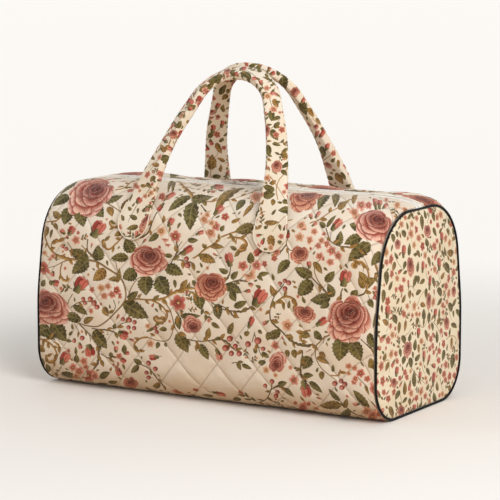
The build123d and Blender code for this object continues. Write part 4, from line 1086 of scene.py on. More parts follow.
endMotifs = {
    "rose": [
        [14.6, 232, -0.2, 9.1, 10.2, -1.2, 0.3], [-65, 225, -0.1, 7, 8.4, -1.1, 0.3],
        [-34, 193, -0.3, 14.1, 9.3, -1.3, 0.3], [95, 142, -0.2, 8, 7.4, -1.1, 0.4],
        [16.8, 141, -0.3, 11.8, 8.2, -1.2, 0.3], [-38, 87, 2.5, 11.2, 11, -1.8, 0.3],
        [75, 103, -0.3, 9.4, 9.4, -1.5, 0.6], [114, 80, -0.2, 8.1, 7.2, -1.2, 0.5],
        [-75, 50, -0.1, 7.1, 8.4, -1.5, 0.5], [-50, 8.8, -0.2, 8.5, 10.5, -2, 0.7],
    ],
    "leaf": [
        [9.8, 254, -1.5, 6, 4.2, -0.3, 0.4], [33, 248, 1.6, -6.7, -5.1, 0.4, 0.3],
        [0.3, 244, 0.2, -10.3, -5.6, 0.7, 0.7], [-49, 236, 2.8, -5.4, -6.3, 0, 0.3],
        [-77, 234, 1.4, -5.9, -5.8, 0.4, 0.5], [10.7, 218, -1.5, 6, 5.9, -0.4, 0.4],
        [-36, 215, 1.2, 8.1, 4.7, -0.8, 0.4], [-48, 196, -2.6, -5.4, -4.3, 1, 0.3],
        [-24, 172, -4, -7.8, -5.4, 1.3, 0.4], [-14.8, 173, 0.1, -5.8, -4.5, 0.6, 0.4],
        [73, 176, 6.1, -8.7, -9.4, -0.1, 0.3], [84, 194, 0.2, -5.3, -10.6, 1.4, 1.5],
        [15.6, 192, 3, -7.5, -4.7, 0.2, 1.2], [60, 196, 4.5, -5.8, -4.3, -0.2, 0.5], [67, 199, -3.1, 7, 4, -0.2, 0.6],
        [30, 163, 3, -7.6, -4.8, 0.3, 0.6], [49, 148, 4.5, -7.2, -7.2, 0.1, 0.3], [-94, 186, 0.2, -9.5, -6.9, 1, 0.4],
        [-75, 198, -2.6, -6, -5, 1.2, 1.5], [-102, 164, -1.2, -8.6, -5.8, 1.1, 0.8],
        [-36, 157, 0.1, -5.8, -5, 0.7, 1.6], [8.1, 152, 0.2, -7.2, -4.5, 0.7, 0.6],
        [79, 236, -4.6, 6.5, 4.7, 0.1, 0.5], [51, 261, -0.1, 3.3, 4.6, -0.5, 1.4],
        [-67, 238, 1.4, -4.6, -4.3, 0.2, 0.4], [-69, 211, -4.1, 5, 3.7, 0.3, 0.5],
        [-12.7, 206, 2.9, -5.5, -4.6, 0.1, 1.1], [-51, 154, 4, 5.2, 4.2, -1.3, 1.4],
        [-26, 257, 1.5, -4, -3.8, 0.2, 0.3], [75, 223, 3.1, -5.6, -4.5, 0, 1], [94, 212, -4.3, -2.8, -5.1, 2, 1.5],
        [-73, 131, 4.2, -7, -7.7, 0.1, 0.3], [-62, 118, -1.2, -8.1, -4.6, 0.9, 1.3],
        [-49, 101, 2.9, -6.3, -6.4, 0.4, 0.4], [-19.8, 90, 1.2, 7.6, 5, -1, 0.3], [-34, 102, 1.3, 5.6, 4.4, -0.9, 0.3],
        [-30, 68, 1.5, -7.4, -6.3, 0.8, 0.2], [-48, 74, -2.6, -5.4, -5.4, 1.5, 0.3],
        [-12.5, 72, 5.5, 4.3, 5.3, -2.1, 0.4], [9.4, 97, 3, -8.3, -5, 0.4, 0.9], [44, 90, -0.2, 8.6, 5.2, -0.8, 0.4],
        [18.8, 118, -1.2, -7.7, -6, 1.2, 0.4], [3.1, 126, -0.2, 7.8, 5.9, -0.9, 0.4],
        [86, 122, 3.1, -7.1, -7.5, 0.5, 0.3], [110, 110, 6.2, -7, -6.5, -0.3, 0.5],
        [98, 96, 7.5, -4.5, -5.4, -1.6, 0.5], [50, 109, -4.2, -4.6, -5.7, 1.9, 1.5],
        [93, 49, -1.2, -10.5, -8.9, 1.8, 0.4], [62, 62, -2.7, -7.5, -5.5, 1.3, 0.4],
        [-20, 46, -0.2, 11.1, 6.4, -1.1, 0.4], [-45, 38, -0.2, 9.1, 5.5, -1, 1.3],
        [-64, 32, -5.3, -5.5, -6.6, 2.5, 0.4], [-77, 12, 5.6, -9.4, -6.7, 0.3, 1.3],
        [43, 9.9, -3.1, 7.2, 6.2, -0.6, 0.3], [4.5, 5.1, 1.3, 6.4, 4.8, -1.1, 0.3], [17.7, 48, 4.4, -6, -4.8, 0, 0.4],
        [-56, 85, 1.5, -6, -4.3, 0.5, 0.5], [-14.9, 119, -1.3, -5.6, -4.4, 0.9, 0.8],
        [30, 105, 1.6, -6.2, -4.8, 0.5, 0.5], [55, 42, 1.6, -4.9, -5.2, 0.6, 0.3],
        [18.1, 28, 1.3, 4.4, 4.8, -1.2, 0.8], [-97, 87, 2.6, 4.7, 5.2, -1.5, 1.4],
        [-90, 73, -3.9, -5.7, -4.6, 1.5, 1.5], [50, 23, -1.6, 6.9, 4.9, -0.7, 1.2],
        [88, 13.7, -1.6, 5.7, 4.7, -0.6, 1.3], [-29, 16.6, 1.5, -5.5, -4.4, 0.6, 1],
    ],
    "bud": [
        [24, 259, 1.6, -6.6, -6.2, 0.4, 0], [55, 218, -0.2, 8.5, 6.6, -0.8, 0.2], [-50, 214, 1.2, 8.8, 6, -1, 0.3],
        [-2.6, 188, 1.2, 8.2, 5, -0.9, 0.4], [47, 185, -0.2, 9.2, 7.2, -1, 0.2], [17.6, 165, 1.2, 10.3, 5.1, -0.9, 0],
        [-92, 143, 1.2, 8.7, 7.2, -1.3, 0.3], [-11.8, 104, 1.2, 6.9, 5.6, -1.1, 0.2],
        [39, 121, 1.3, 7, 6.3, -1.2, 0.2], [4.4, 71, -0.2, 7.9, 5.4, -0.9, 0.5], [36, 35, -0.3, 10.6, 7.2, -1.3, 0.1],
        [-4.9, 46, 1.2, 7, 5.1, -1.1, 0.3], [-67, 63, 2.6, 6.6, 5.9, -1.5, 0.2],
        [-13.8, 5.9, -0.1, 5.3, 6.2, -1.2, 0.4],
    ],
    "berry": [],
    "blossom": [
        [54, 248, 8.1, -0.9, 0.2, -6.2, 0.8], [-13.8, 252, 6.1, -0.7, 0.1, -4.8, 0.6],
        [-44, 256, 5.5, -0.6, 0.1, -4.3, 0.7], [-30, 234, 8.3, -1, 0.1, -6.5, 0.7],
        [-10.4, 226, 7.2, -0.9, 0.1, -5.7, 0.6], [32, 210, 8, -1, 0.2, -6.2, 0.3],
        [40, 216, 5.7, -0.7, 0.1, -4.4, 0.5], [33, 180, 8, -1.1, 0.2, -6.2, 0.7], [94, 168, 7.7, -1.1, 0.2, -5.9, 0.3],
        [68, 153, 7.9, -1.1, 0.2, -6.1, 0.3], [94, 181, 6.5, -0.9, 0.1, -5, 0.9],
        [-94, 206, 6.4, -0.9, 0.1, -5.1, 0.5], [-67, 182, 6.2, -0.9, 0.1, -5, 0.8],
        [-58, 168, 7.9, -1.1, 0.1, -6.3, 0.2], [-51, 178, 5.5, -0.8, 0.1, -4.4, 0.5],
        [86, 232, 6.5, -0.8, 0.1, -4.9, 0.1], [43, 236, 5.7, -0.7, 0.1, -4.4, 0.2],
        [-27, 246, 6.6, -0.8, 0.1, -5.2, 0.8], [-55, 249, 6.5, -0.8, 0.1, -5.2, 0.8],
        [74, 131, 5.9, -0.9, 0.1, -4.5, 0.8], [-50, 134, 6.6, -1, 0.1, -5.2, 0.3], [-42, 143, 6, -0.9, 0.1, -4.8, 0.8],
        [-90, 107, 8, -1.3, 0.1, -6.5, 0.3], [-79, 112, 7.3, -1.2, 0.1, -5.9, 0.9],
        [24, 90, 6.9, -1.1, 0.1, -5.4, 0.2], [30, 80, 6.6, -1.1, 0.1, -5.2, 0.4], [21, 78, 5.7, -0.9, 0.1, -4.5, 0.3],
        [50, 70, 7, -1.2, 0.1, -5.4, 0.3], [48, 58, 7, -1.2, 0.1, -5.4, 0.3], [33, 71, 5.7, -1, 0.1, -4.5, 0.4],
        [71, 48, 8.2, -1.4, 0.2, -6.4, 0.4], [68, 36, 7.6, -1.3, 0.2, -5.9, 0.3], [74, 27, 6.5, -1.2, 0.1, -5, 0.3],
        [101, 28, 7.5, -1.3, 0.2, -5.8, 0.3], [-45, 58, 6.6, -1.2, 0.1, -5.3, 0.3],
        [-40, 51, 6.1, -1.1, 0.1, -4.9, 0.3], [-59, 53, 5.5, -1, 0.1, -4.4, 0.2],
        [14.2, 16.5, 6.8, -1.3, 0.1, -5.4, 0.4], [29, 7.2, 6.6, -1.2, 0.1, -5.2, 0.8],
        [-11.2, 18.5, 6.7, -1.2, 0.1, -5.4, 0.2], [-28, 28, 7.2, -1.3, 0.1, -5.8, 0.7],
        [-88, 32, 6.5, -1.2, 0.1, -5.2, 0.1], [-65, 76, 6, -1, 0.1, -4.8, 0.4], [-68, 86, 6, -1, 0.1, -4.8, 0.4],
        [-4.5, 92, 6.5, -1.1, 0.1, -5.1, 0.8], [58, 95, 6.4, -1, 0.1, -5, 0.4],
        [-16.5, 129, 5.6, -0.9, 0.1, -4.4, 0.8], [-28, 129, 5, -0.8, 0.1, -4, 0.5],
        [10.8, 41, 5.1, -0.9, 0.1, -4, 0.9], [60, 129, 6.4, -1, 0.1, -5, 0.4], [63, 119, 5.8, -0.9, 0.1, -4.5, 0.5],
        [-99, 42, 5.9, -1.1, 0.1, -4.8, 0.3], [-3.8, 62, 5.1, -0.9, 0.1, -4, 0.8],
        [106, 52, 7.2, -1.2, 0.2, -5.5, 0.4], [66, 9.6, 6.5, -1.2, 0.1, -5, 0.9],
    ],
    "vine": [
        [0.9, 2, -11, 123, -5, 111, 6, 110, 12, 117], [0.9, 2, 32, 112, 46, 102, 55, 91, 58, 83],
        [1.1, 0, 73, 81, 82, 84, 96, 82, 106, 74, 109, 67], [0.9, 1, -61, 36, -53, 26, -50, 15],
        [0.8, 1, 19, 155, 16, 166, 8, 175, 5, 183], [0.9, 1, 23, 253, 17, 246, 14, 241],
        [0.9, 2, 64, 185, 61, 193, 58, 202], [0.9, 2, -73, 216, -65, 202, -54, 193],
        [0.8, 1, 47, 177, 45, 169, 51, 161], [0.8, 1, 55, 210, 58, 202], [1, 0, -42, 164, -34, 168, -23, 161],
        [1, 0, -14, 139, -6, 151, 5, 157], [0.9, 1, 17, 129, 20, 118, 29, 110], [0.9, 1, -90, 134, -90, 125, -95, 118],
        [0.9, 2, 74, 133, 84, 116, 90, 104], [0.8, 1, 5, 63, 2, 55, 8, 47], [0.9, 1, -32, 64, -20, 54, -6, 44, 11, 33],
        [0.9, 2, 57, 33, 63, 21, 69, 12], [0.8, 2, -57, 104, -41, 107, -30, 113],
        [0.9, 0, -100, 81, -86, 81, -84, 70, -86, 63], [0.8, 1, 37, 26, 40, 17],
        [0.8, 2, 75, 231, 84, 219, 90, 208, 87, 198], [0.8, 2, -33, 244, -27, 233, -30, 223],
    ],
}


handleMotifs = {
    "front": {
        "rose": [
            [150, -11.2, 6.6, 0.8, 0.1, -10.2, 0.7], [265, -3.9, -0.4, 9.4, 6.9, -5.2, 0.6],
            [401, -12.9, -8.8, 3.7, 4.8, 4.3, 0.3], [452, 0.5, -8.5, -3.1, -2.9, 7, 0.5],
            [27, -20, 9.7, 1.3, 12.2, -9.1, 0.5],
        ],
        "leaf": [
            [165, -11.4, 6.1, -1.2, -0.8, -4.8, 0.3], [164, 7.2, 4.4, 21.9, 2.2, -6, 0.8],
            [179, -4.1, 5.5, -4.4, -2, -10.8, 0.3], [193, -14.7, 5.7, -2.8, -1.5, -3.7, 0.4],
            [225, -12.3, 7.8, 0.4, 0.5, -5.4, 1.3], [235, -16.1, 5.6, -0.4, -0.5, -3.7, 0.8],
            [241, -10.9, 4.9, 1.2, 1.7, -5.6, 0.5], [250, -12.2, 9, 1.4, 2.1, -8.5, 0.2],
            [275, -7.6, 2.2, 5.7, 4.4, -4.6, 0.3], [300, -11.8, 11.7, -2, -1.1, -5.2, 0.2],
            [127, -3.3, 4.7, 10.2, 2.3, -4.4, 2], [130, -12.8, 4.8, -2.4, -1.5, -3.7, 2],
            [116, -16.3, 5.1, -4.7, -2.9, -4.3, 0.4], [103, -5, -0.6, 8.3, 3.5, 1.6, 2],
            [113, 12.1, 4.2, 9, 0.9, -6.6, 1.2], [83, -9.6, -4.7, 2.6, 1.6, 4.3, 1],
            [349, -10.6, 5.2, -2.9, -3, -3.7, 0.3], [362, 3.1, 6.8, 2.6, 2.1, -3.7, 2],
            [380, -4.6, 8.1, -0.8, -0.6, -4.6, 0.2], [394, 1.7, -4.2, 4.3, 3, 2.3, 0.4],
            [408, -2.5, 8.2, 4, 2.7, -4.3, 0.3], [430, -11.3, 8.5, 0.4, -1.7, -5, 0.3],
            [436, 9.1, -6.7, -2.8, -2.2, 4.2, 1.6], [429, 11.1, -3.4, 3.5, 1.8, 1.8, 0.8],
            [461, 10.6, 3.5, 4.4, 2.7, -2.1, 0.4], [446, 16.4, -9.2, 9.6, -0.4, 5.8, 0.4],
            [474, -2.3, -2.7, 3.6, 2.8, 2.1, 2], [482, -7.4, -3.2, -8.3, -4.5, 1.1, 0.4],
            [491, -5.6, -1, 8.2, 6.1, 1.7, 0.4], [501, 0.3, 4.6, -0.2, -0.6, -3.6, 1.6],
            [512, 19.2, 0.1, -10.5, -5.9, 0.4, 0.3], [528, 1.7, 0, 10.7, 4, 0.8, 1.7],
            [552, 4.6, 8.2, 2.4, 1.1, -6, 2], [552, 18.4, 1.4, 5, 2.4, -1, 0.6], [534, -5.3, -2, 2.6, 2.3, 2.1, 0.4],
            [500, 18.2, 1.8, 4.6, 3.4, -1.7, 0.6], [44, -16.7, 4.2, -8.9, -4.4, 0.3, 0.3],
            [28, 1.5, 1.6, 7.2, 3.6, -0.6, 0.4], [15, -0.6, -2.6, 9.1, 3.5, 1.6, 0.9],
            [5.9, -12.5, -3.4, 4.3, 1.4, 2.4, 0.4], [74, -6.8, -2.4, -6.5, -2.8, 1.6, 1],
            [72, 2.4, 0.9, -6.2, -2.6, -1.2, 1.8], [38, 12, 2.1, 3.6, 2.1, -1.7, 1], [47, -26, 13, 0.1, 6.6, 0.1, 0.5],
        ],
        "bud": [
            [198, -3.1, 6, 1.9, -0.4, -14.1, 0.2], [207, -17.7, 6.6, 0.1, 1.2, -5, 0.3],
            [281, -12.9, 4, 2.1, 2.2, -2.9, 0.2], [285, 1.8, 1.7, 6.1, 5.7, -7.4, 0.1],
            [140, 7, 5, 17.7, 1.6, -8, 0.8], [327, -7.5, -5.3, 1.3, 0.5, 3.5, 0.4],
            [552, -7.9, 4.3, -1.8, -0.9, -3.3, 0.1], [534, 24, -4.7, 2.9, -0.6, 6, 0.2],
            [51, 2.1, 4.7, -2.2, -2.1, -5.8, 0.1], [17, -20, -6.7, 2.5, -9.1, -0.9, 0.6],
            [60, -20, 4, -2.2, 1, -2.8, 0.5],
        ],
        "berry": [],
        "blossom": [
            [93, -18.2, 2.7, -5.7, -4.9, -2, 0.4], [105, -23, 3.4, 0, 0, 3.4, 0.3],
            [338, -4.3, 1.2, 4.3, 5, -1.8, 0.6], [401, 7.4, -0.2, 4.8, 5.3, -0.4, 0.2],
            [468, -10.8, 0.5, 5.2, 4.8, 0.4, 0.7], [545, 18.2, -0.2, 4.8, 3.5, 0.6, 0.4],
            [487, 13.7, -0.5, 3.5, 4, 0.6, 0.6], [69, 14.2, 0.5, -6.7, -4.2, -3.1, 0.5],
            [65, -13.5, 1.2, -5.1, -4.3, -1.5, 0.9], [59, -5.7, 0.9, -4.9, -3.8, -1.6, 0.7],
        ],
        "vine": [
            [1, 2, 130, -14, 153, -11, 174, -8, 193, -12], [1, 2, 221, -16, 239, -15, 262, -10, 275, -4],
            [1, 3, 281, -9, 290, -3, 311, -7, 329, -7], [0.9, 0, 94, 1, 110, -7, 126, -13, 142, -14],
            [0.8, 0, 97, 5, 106, 0, 115, -12, 131, -22], [0.9, 1, 149, -22, 109, -23, 79, -20, 66, -15],
            [1, 3, 315, -8, 333, -9, 350, -5, 369, -2], [0.9, 2, 400, -10, 395, -2, 384, 7],
            [1.2, 0, 444, 16, 460, 12, 471, 5, 484, 3, 498, 7], [1, 0, 463, -10, 472, -2, 484, 7, 498, 17],
            [1, 0, 517, 24, 523, 17, 530, 11, 540, 4], [1, 1, 86, -14, 71, -10, 56, -2, 43, 3],
            [0.9, 1, 43, 3, 32, 5, 21, 7],
        ],
    },
    "back": {
        "rose": [
            [240, 42, 10, -0.2, 0.1, 3, 0.2], [182, 22, 5, -1.2, 3.3, 5.6, 0.3], [173, 23, 4.7, -1.2, 1.8, 4, 0.2],
            [175, 32, 5.2, -1.1, 0.3, 4, 0.3], [356, 18.1, -5.7, -2, -0.1, -9.8, 0.4],
            [410, 21, -3.8, -2.6, 0.9, -4.5, 0.2], [472, 46, -5.9, -1.9, 0.1, -9.5, 0.2],
        ],
        "leaf": [
            [225, 30, 10.3, 2.7, -3.4, 4.2, 0.2], [210, 35, -4.5, -3.8, 3.4, -2.9, 1.4],
            [184, 26, 4.6, 1.5, -1.8, 2.8, 0.4], [191, 36, 6.9, -1.5, -0.3, 3.4, 1.2],
            [144, 30, 6.7, 3.6, -2.6, 3.3, 0.4], [120, 42, -9.5, 4.9, -2.4, -3.7, 2],
            [95, 34, 14.5, -0.9, 0.7, 7.2, 1.7], [72, 24, 7.2, -4.3, 6.2, 6.6, 0.3],
            [69, 44, 3.4, 6.6, -5.2, 1.4, 0.4], [86, 48, 6.8, -0.5, 0.2, 2.7, 1.8], [163, 22, 7, 1.4, 1.2, 3.9, 0.5],
            [135, 44, 4.1, 2.3, -2.3, 2.4, 0.8], [296, 15.3, 3.5, -5.5, 2.9, 2, 0.5],
            [304, 15.9, 2.9, -6.8, 2.5, 1.6, 0.8], [304, 18, -2.9, -2.6, 1.7, -2.4, 0.4],
            [341, 23, 7.4, 9.6, -2.8, 9, 0.3], [381, 24, 9.9, 0.1, 2.6, 10.7, 0.3],
            [390, 16.4, 7.3, 0.1, -0.2, 3.8, 2], [406, 13.8, 5.4, 0.2, -0.9, 4.1, 1.7],
            [419, 14.2, 4.4, -1.9, 0.5, 3, 0.4], [450, 39, 9, 3.8, 1.8, 9.8, 0.3],
            [462, 28, -3.1, -6.1, 2.2, -0.8, 0.6], [469, 24, 5.7, 2.7, -0.5, 2.7, 1.8],
            [493, 37, 8.9, -2.4, 4.3, 7.3, 2], [494, 55, 3.4, 5.4, -2.7, 3.8, 0.5],
            [488, 27, 6.7, -0.4, 1.4, 3.3, 0.7],
        ],
        "bud": [
            [194, 28, 6.2, 0.2, -1, 4.1, 0.2], [154, 30, 8.1, 0.2, -0.6, 4.1, 0.2],
            [163, 41, 7.1, -0.3, -0.9, 3.8, 0.2], [130, 30, -5.9, 2.2, -1.6, -3.3, 0.3],
            [119, 24, -5.3, 2.3, -3.2, -4.6, 0.2], [316, 10.8, 0.1, -10.2, 3, 2.9, 0.3],
            [322, 17, 2.7, -3, 2.2, 2.6, 0.2], [371, 16.6, -1.7, -5, 3.1, -1.3, 0.3],
            [423, 19.6, -3.3, -8.1, 3.5, -1.1, 0.2], [422, 30, -6.6, -9.1, 0.2, -5.7, 0.3],
            [442, 24, -5.2, -5.8, 1.4, -3.9, 0.3],
        ],
        "berry": [],
        "blossom": [
            [144, 37, 0.2, 5.4, -6.8, 1.5, 0.2], [105, 28, 0.6, 2.7, -3.4, 0.8, 0.5],
            [287, 13.4, 3.6, -0.2, 1.8, 4.8, 0.1], [453, 21, 2.1, -3.6, 4, 3.1, 0.2], [439, 11, 1.6, 0, 3.2, 0.1, 0.4],
        ],
        "vine": [
            [1, 2, 129, 20, 141, 29, 150, 36, 159, 40], [1.1, 0, 58, 38, 77, 34, 99, 37, 117, 43],
            [1, 2, 287, 16, 299, 17, 309, 17, 323, 20], [1, 2, 353, 32, 369, 23, 388, 19, 407, 18],
            [1, 2, 466, 52, 456, 31, 450, 16],
        ],
    },
}


def turnedRound(motifs):
    # the same print seen from the other side: u turns to -u, and so do the motif's own directions
    turned = {}
    for kind, rows in motifs.items():
        if kind == "vine":
            turned[kind] = [row[:2] + [-value if k % 2 == 0 else value for k, value in enumerate(row[2:])]
                            for row in rows]
        else:
            turned[kind] = [[-row[0], row[1], -row[2], row[3], -row[4], row[5], row[6]] for row in rows]
    return turned


def coverOf(motifs):
    # circles (u, v, radius) that stand for the cloth already printed on
    circles = []
    for kind, rows in motifs.items():
        for row in rows:
            if kind == "vine":
                line, _ = smoothStroke(np.array(row[2:]).reshape(-1, 2))
                circles += [(u, v, row[0] * 0.6 + 0.3) for u, v in line[::2]]
            else:
                cu, cv, au, av, bu, bv = row[:6]
                long, wide = math.hypot(au, av), math.hypot(bu, bv)
                for share in (-0.6, 0.0, 0.6) if long > 1.4 * wide else (0.0,):
                    circles.append((cu + share * au, cv + share * av, min(long, wide) * 0.95))
    return circles


def fillPrint(motifs, seed, box, tries, sizes, spread, plain=None):
    # small sprigs, leaves, blossoms and buds of the same print on the ground that is still free inside the box
    chance = np.random.default_rng(seed)
    circles = np.full((30000, 3), 1e6)
    cover = coverOf(motifs)
    circles[:len(cover)] = cover
    count = len(cover)
    kinds = ["sprig", "sprig", "leaf", "leaf", "leaf", "blossom", "blossom", "bud"]
    for number in range(tries):
        u, v = chance.uniform(box[0], box[2]), chance.uniform(box[1], box[3])
        reach = sizes[1] - (sizes[1] - sizes[0]) * (number / tries) ** 0.6
        turn, tone = chance.uniform(0, 2 * math.pi), chance.uniform(0, 1)
        kind = kinds[int(chance.integers(8))]
        if kind == "sprig" and reach < 6:
            kind = "leaf"
        if plain is not None and insideOf(plain, u, v):
            continue
        if (np.hypot(circles[:count, 0] - u, circles[:count, 1] - v) < circles[:count, 2] + reach * spread).any():
            continue
        c, s = math.cos(turn), math.sin(turn)

        def leafAt(u0, v0, angle, long, wide, shade):
            a, b = math.cos(angle) * long / 2, math.sin(angle) * long / 2
            motifs["leaf"].append([u0 + a, v0 + b, a, b, -b * wide, a * wide, shade])

        if kind == "sprig":
            line = [(-1.0, -0.12), (-0.3, 0.10), (0.3, 0.06), (0.8, -0.06)]
            motifs["vine"].append([0.9, int(chance.integers(4))] + [w for x, y in line for w in
                                  (u + (x * c - y * s) * reach, v + (x * s + y * c) * reach)])
            for x, side in ((-0.60, 1), (-0.25, -1), (0.15, 1), (0.45, -1)):
                shade = 2.0 if chance.uniform() < 0.2 else chance.uniform(0, 1)
                angle = turn + side * chance.uniform(0.6, 1.0)
                leafAt(u + x * c * reach, v + x * s * reach, angle, reach * 0.85, 0.52, shade)
            x, y, long = u + c * reach * 0.95, v + s * reach * 0.95, reach * 0.34
            if chance.uniform() < 0.5:
                motifs["bud"].append([x, y, c * long, s * long, -s * long * 0.6, c * long * 0.6, tone])
            else:
                motifs["blossom"].append([x, y, c * long, s * long, -s * long, c * long, tone])
        elif kind == "leaf":
            leafAt(u - c * reach * 0.8, v - s * reach * 0.8, turn, reach * 1.6, 0.5, 2.0 if tone < 0.25 else tone)
        elif kind == "blossom":
            long = reach * 0.72
            motifs["blossom"].append([u, v, c * long, s * long, -s * long, c * long, tone])
        else:
            motifs["bud"].append([u, v, c * reach * 0.8, s * reach * 0.8, -s * reach * 0.46, c * reach * 0.46,
                                  tone])
            motifs["vine"].append([0.8, 3, u - c * reach * 0.7, v - s * reach * 0.7, u - c * reach * 1.3 - s * 0.6,
                                   v - s * reach * 1.3 + c * 0.6])
        circles[count] = (u, v, reach * 0.92)
        count += 1
    return motifs


def leafyStems(motifs, seed):
    # the gold and brown scrolls carry small curled leaves on either side in turn
    chance = np.random.default_rng(seed)
    for row in list(motifs["vine"]):
        if row[1] > 1 or row[0] < 1.2:
            continue
        line, length = smoothStroke(np.array(row[2:]).reshape(-1, 2))
        steps = int(length / 13.0)
        for k in range(1, steps + 1):
            at = pointsAt(line, np.array([length * k / (steps + 0.3)]))[0]
            ahead = pointsAt(line, np.array([min(length * k / (steps + 0.3) + 1, length)]))[0] - at
            if not ahead.any():
                continue
            turn = math.atan2(ahead[1], ahead[0]) + (1 if k % 2 else -1) * chance.uniform(0.5, 0.95)
            long, wide = chance.uniform(8.0, 12.0), chance.uniform(0.42, 0.58)
            a, b = math.cos(turn) * long / 2, math.sin(turn) * long / 2
            shade = 2.0 if chance.uniform() < 0.7 else chance.uniform(0.9, 1.6)
            motifs["leaf"].append([at[0] + a, at[1] + b, a, b, -b * wide, a * wide, shade])


def insideOf(corners, u, v):
    # corners go round a convex area
    crosses = [(b[0] - a[0]) * (v - a[1]) - (b[1] - a[1]) * (u - a[0])
               for a, b in zip(corners, corners[1:] + corners[:1])]
    return min(crosses) > 0 or max(crosses) < 0


plainPlace = [(-63, 289), (6, 266), (66, 273), (107, 298), (90, 340), (-64, 342)]
backFrom = 46   # mm down from the zip, where the back starts to repeat the front
backMotifs = {kind: [row for row in rows if kind == "vine" or row[1] > backFrom]
              for kind, rows in frontMotifs.items()}
# the strip behind the zip that the camera sees has its own big flowers and leaves
backMotifs["rose"] += [[207, 20, -6, -24, 32, -2, 0.9], [-105, 20, 5, -26, 25, 3, 1.0], [-248, 26, 4, -28, 24, 2, 1.0],
                       [30, 24, 4, -22, 22, 3, 0.8]]
backMotifs["leaf"] += [[170, 24, -12, 9, 6, 9, 0.2], [128, 18, 15, 6, -5, 8, 0.9], [4, 18, -14, 5, 4, 8, 0.3],
                       [-68, 18, 12, 7, -5, 6, 2.0], [-141, 22, 14, 8, -6, 9, 0.1], [-178, 18, -14, 6, 4, 8, 2.0],
                       [82, 20, -12, 8, 5, 8, 0.2], [-22, 34, 13, 8, -6, 7, 1.4], [62, 30, 13, -8, 5, 8, 0.6]]
backMotifs["bud"] += [[-208, 18, -9, 5, 4, 7, 0.2], [-226, 12, -7, -5, 4, -5, 0.4], [100, 30, 8, 6, -4, 6, 0.3]]
for motifs, number in ((frontMotifs, 1), (backMotifs, 2), (endMotifs, 7)):
    leafyStems(motifs, number)
# what the small fill covers: its box on the cloth, tries, sizes and how close it may come
panelFill = ((-262, 17, 262, 465), 9000, (3.2, 15.0), 0.74)
endFill = ((-118, 3, 118, 262), 9000, (3.4, 10.5), 0.60)
fillPrint(frontMotifs, 3, *panelFill, plainPlace)
fillPrint(backMotifs, 4, *panelFill)
fillPrint(endMotifs, 8, *endFill)


tabs = {"x": 104.0, "z": 234.1, "radius": 23.5, "slope": 1.12}
panel = {"step": 2.3, "waves": 1.3, "sunk": 1.15, "edgeSunk": 0.45, "tabSunk": 0.75}

handle = {
    "lean": 62.5,
    "footY": 114.33,
    "footZ": 235.63,
    "footAt": 25.5,          # length of strap that is sewn down at each end
    "footSpacing": 104.0,
    "kneeSpacing": 88.0,
    "kneeReach": 105.0,
    "crestSpacing": 42.0,
    "radii": [150, 400, 60, 60, 400, 150],
    "front": {"shift": 0.0, "reach": 214.0},
    "back": {"shift": -12.0, "reach": 219.0},
    "width": 24.0,
    "footWidth": 47.0,
    "thickness": 12.0,
    "footThickness": 5.0,
    "tabThickness": 3.2,
    "tabLift": 1.9,          # how far the strap's middle stands off the bag, at the tab's end and at the foot
    "footLift": 3.53,
    "firstTurn": 30.0,
    "crestTurn": 45.0,
    "flare": 3.2,
    "around": 56,
    "step": 2.0,
}


def fromTab(places, tabShift):
    # distance in mm from the middle of the nearer tab
    return np.hypot(np.abs(places[..., 0] - tabShift) - tabs["x"], (places[..., 2] - tabs["z"]) * tabs["slope"])


def makePanel(name, side, motifs, seed, tabShift):
    places, cloth = panelGrid(side, panel["step"])
    outward = gridNormals(places, 1.0)
    if outward[len(places) // 2, 60, 1] * side < 0:
        outward = -outward
    inner = places - outward * bag["quilt"]
    height = quiltHeight(cloth) - panel["sunk"] + softWaves(cloth, seed, panel["waves"])
    u, v = np.abs(cloth[..., 0]), cloth[..., 1]
    uMax, vMax = u.max(), v[:, -1].max()
    # held flat by the zip seam, the end seams and the base seam, with little gathers beside them
    held = smoothStep(1.5, 13, v) * smoothStep(1.0, 15, uMax - u) * smoothStep(1.5, 12, vMax - v)
    gather = 0.35 * np.sin(v * 0.55 + 1.4 * np.sin(v * 0.13)) * np.exp(-((uMax - u) / 8) ** 2)
    gather = gather * smoothStep(0.5, 3, uMax - u)
    gather = gather + 0.25 * np.sin(u * 0.7 + 1.3 * np.sin(u * 0.11)) * np.exp(-((v - 5) / 5) ** 2)
    clear = smoothStep(tabs["radius"] - 1, tabs["radius"] + 9, fromTab(places, tabShift))
    clear = np.clip(clear + (places[..., 2] < 150), 0, 1)
    height = (height * held - panel["edgeSunk"] * (1 - held) + gather) * clear - panel["tabSunk"] * (1 - clear)
    # the base stays nearly flat where the bag stands on it
    standing = smoothStep(14, 2, places[..., 2])
    height = height * (1 - standing) + standing * (np.minimum(height, 0.0) * 0.5)
    outer = places + outward * height[..., None]
    outer[..., 2] = np.maximum(outer[..., 2], 0.0)
    piece = clothShell(name, outer, inner, cloth, motifs, panelCotton, side > 0,
                       lambda at: at * (1, -1) + (0.005, 0.995))
    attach(piece, "bag")
    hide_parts(name.replace("Panel", "_panel"))
    return outer, outward, cloth


front = makePanel("frontPanel", -1, frontMotifs, 11, handle["front"]["shift"])
back = makePanel("backPanel", 1, turnedRound(backMotifs), 12, handle["back"]["shift"])
print("side panels made")


# End panels

def endOutline(inset):
    # half the outline at the end seam, as (y, z), from the top to the base
    corners = [(0.0, bag["endHeight"] - inset), (bag["halfShoulder"] - inset, bag["endHeight"] - inset),
               (bag["halfBase"] - inset, bag["kneeHeight"]), (bag["halfBase"] - inset, inset), (0.0, inset)]
    return filletedPath(corners, [bag["shoulderRadius"] - inset, bag["kneeRadius"] - inset, bag["baseRadius"] - inset])


ends = {"inset": 3.35, "columns": 85, "out": 3.0, "dome": 2.6, "domeReach": 55, "waves": 1.5, "gather": 0.30}


